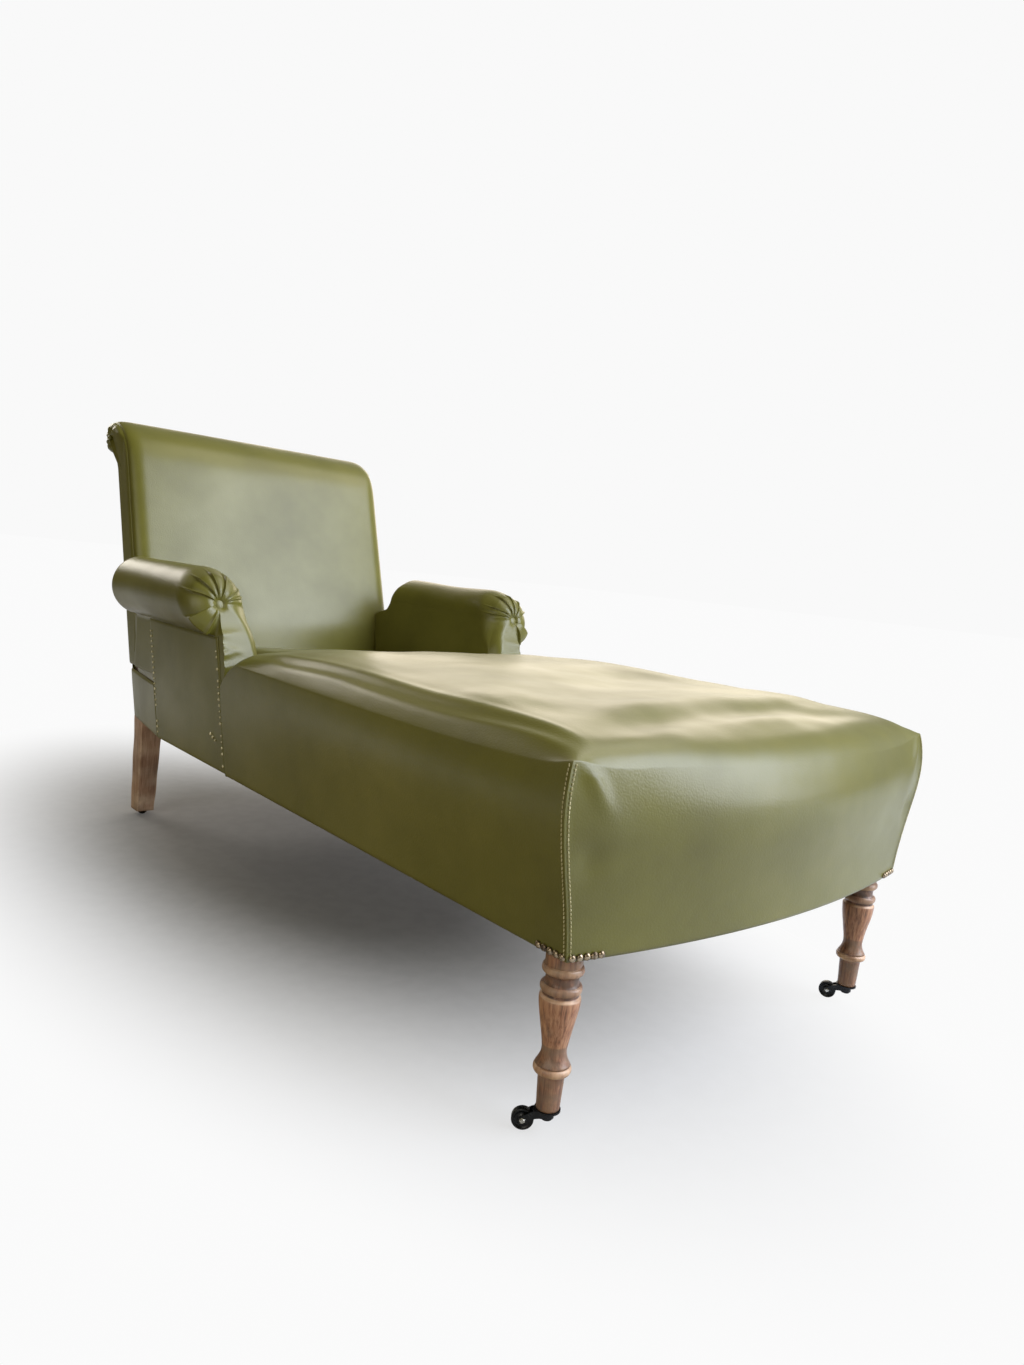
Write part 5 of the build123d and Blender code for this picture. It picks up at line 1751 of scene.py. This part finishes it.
@dataclass
class RearLegs:
    """Two square tapered legs with rubbed edges; each runs up into the back as a stile."""

    x: float = 0.288
    foot_y: float = 0.5726
    top: tuple[float, float] = (0.046, 0.046)
    foot: tuple[float, float] = (0.038, 0.040)
    low_z: float = 0.010
    seat_z: float = 0.212
    splay: float = 0.008
    tenon: float = 0.03
    stile: tuple[float, float] = (0.036, 0.030)
    stile_set: float = 0.020
    stile_gap: float = 0.012
    round_over: float = 0.0035

    def section(self, size: tuple[float, float]) -> np.ndarray:
        """A rounded square, in X and Y."""
        ring = []
        for corner in range(4):
            angle = corner * QUARTER_TURN
            cx = (size[0] / 2 - self.round_over) * (1 if corner in (0, 3) else -1)
            cy = (size[1] / 2 - self.round_over) * (1 if corner in (0, 1) else -1)
            for a in np.linspace(angle, angle + QUARTER_TURN, 6):
                ring.append((cx + self.round_over * math.cos(a), cy + self.round_over * math.sin(a)))
        return np.array(ring)

    def build(self) -> list[bpy.types.Object]:
        """Make both legs.

        Returns:
            The pieces.
        """
        made = []
        for side in Side:
            top_z = self.seat_z + self.tenon
            z = np.concatenate([[self.low_z], np.linspace(self.low_z, top_z, 40), [top_z]])
            share = np.clip((z - self.low_z) / (self.seat_z - self.low_z), 0, 1)
            fade = np.ones_like(z)
            fade[0] = fade[-1] = 0.0
            rings = []
            for s, f in zip(share, fade):
                size = tuple(a + (b - a) * s for a, b in zip(self.foot, self.top))
                rings.append(self.section(size) * f)
            grid = np.empty((len(z), len(rings[0]), 3))
            grid[..., :2] = np.array(rings)
            grid[..., 0] += side.value * self.x
            grid[..., 1] += (self.foot_y - self.splay * share)[:, None]
            grid[..., 2] = z[:, None]
            rough = 0.0006 * undulation(grid, 0.05, 61 + side.value)
            grid[..., 0] += rough * fade[:, None]
            corner = np.tile(np.array([0, 0.6, 1, 1, 0.6, 0] * 4), (len(z), 1))
            scuff = np.clip(1 - (z - self.low_z) / 0.05, 0, 1)[:, None]
            patches = undulation(grid, 0.03, 71 + side.value)
            wear = np.clip(0.25 + 0.55 * corner + 0.5 * scuff + 0.35 * patches, 0, 1)
            stain = np.clip(0.25 + 0.5 * undulation(grid, 0.06, 81 + side.value), 0, 0.8)
            work = Patchwork(f"rear_leg_{side.label}")
            work.patch(grid, around=True, wear=wear, stain=stain)
            self.add_stile(work, side)
            leg = work.piece(BARE_WOOD)
            made.append(declare(leg, "bare_wood", f"rear_post_{side.label}"))
        return made

    def add_stile(self, work: Patchwork, side: Side) -> None:
        """Add the raked stile inside the back.

        Args:
            work: The leg's patches.
            side: Which leg.
        """
        _, rear_y, post_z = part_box(f"rear_post_{side.label}")[1]
        low, high = self.seat_z + self.tenon, post_z - self.stile_gap
        levels = np.array([(0.0, low), (1.0, low), (1.0, high), (0.0, high)])
        grid = np.empty((4, 4, 3))
        ring = np.array([(1, 1), (-1, 1), (-1, -1), (1, -1)]) * np.array(self.stile) / 2
        grid[..., :2] = ring * levels[:, :1, None]
        grid[..., 0] += side.value * self.x
        lean = math.tan(math.radians(BACK_FRONT.degrees))
        grid[..., 1] += rear_y - self.stile_set - (post_z - levels[:, 1:]) * lean
        grid[..., 2] = levels[:, 1:]
        work.patch(grid, around=True, wear=np.zeros((4, 4)), stain=np.full((4, 4), 0.2))


@dataclass
class Castors:
    """Black iron castors: the frame's own horns, plates and axles, with smooth dished wheels."""

    radius: float = 0.0125
    width: float = 0.009
    trail: float = 0.026
    # The way that the left and the right castor trail, in degrees from +X
    headings: tuple[float, float] = (136, 112)
    tread_round: float = 0.0016
    bore: float = 0.0021
    # Share of the radius and depth, from the lip in to the hub
    dish: tuple[tuple[float, float], ...] = ((0.80, 0.0), (0.74, 0.0010), (0.55, 0.0016), (0.45, 0.0008),
                                             (0.40, 0.0))
    leg_x: float = FrontLegs.x
    leg_y: float = FrontLegs.y

    def wheel(self, side: Side, degrees: float) -> bpy.types.Object:
        """One dished wheel with a rounded tread.

        Args:
            side: Which leg.
            degrees: The way that it trails, from +X.

        Returns:
            The piece.
        """
        half, r = self.width / 2, self.tread_round
        rim = [(self.radius - r + r * math.cos(a), half - r + r * math.sin(a))
               for a in np.linspace(0, QUARTER_TURN, 6)]
        dish = [(self.radius * share, half - depth) for share, depth in self.dish]
        upper = np.array([*rim, *dish, (self.bore, half)])
        lower = upper[::-1] * (1, -1)
        outline = np.concatenate([lower, upper, lower[:1]])
        angle = math.radians(degrees)
        hub = (side.value * self.leg_x + self.trail * math.cos(angle),
               self.leg_y + self.trail * math.sin(angle), self.radius)
        turn = Matrix.Rotation(angle, 4, "Z") @ Matrix.Rotation(QUARTER_TURN, 4, "X")
        work = Patchwork(f"castor_tyre_{side.label}")
        work.patch(turned(lathe(outline, 56), Matrix.Translation(hub) @ turn), around=True)
        wheel = work.piece(BLACK_IRON)
        return declare(wheel, "iron", f"castor_wheel_{side.label}", body=f"wheel_{side.label}")

    def build(self) -> list[bpy.types.Object]:
        """Make both wheels."""
        return [self.wheel(side, degrees) for side, degrees in zip(Side, self.headings)]


def dress_nodes() -> None:
    """Give each frame node that stays its finish."""
    finishes = {"castor_horn": BLACK_IRON, "castor_plates": BLACK_IRON, "castor_axle": STEEL,
                "castor_wheel": BLACK_IRON, "rear_glides": BLACK_IRON}
    for name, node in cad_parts.items():
        finish = next((f for key, f in finishes.items() if name.startswith(key)), FRAME_WOOD)
        node.data.materials.clear()
        node.data.materials.append(finish.material())


def covered_buttons(arms: list[Arm], back: Back) -> None:
    """Make the covered buttons of the arms and of the scroll's ends."""
    work = Patchwork("arm_front_buttons")
    for arm in arms:
        work.patch(arm.button(), around=True)
    declare(work.piece(LEATHER), "leathercloth", "arm_buttons")
    work = Patchwork("scroll_end_buttons")
    for side in Side:
        work.patch(back.button(side), around=True)
    declare(work.piece(LEATHER), "leathercloth", "scroll_buttons")


def main() -> None:
    """Build the chaise, piece by piece, and the studio round it."""
    logging.basicConfig(level=logging.INFO, format="%(name)s: %(message)s")
    bpy.context.scene.view_settings.view_transform = "Standard"
    PhotoCamera().build()
    Studio().build()
    dress_nodes()
    seat = Seat()
    seat.build()
    arms = [Arm(side) for side in Side]
    for arm in arms:
        arm.build()
    back = Back()
    back.build()
    covered_buttons(arms, back)
    panels = Panels()
    for side in Side:
        panels.outside_arm(side)
        panels.rear_strip(side)
    panels.pins()
    panels.outside_back()
    panels.dust_cover(seat)
    FrontLegs().build()
    RearLegs().build()
    Castors().build()


if __name__ == "__main__":
    main()
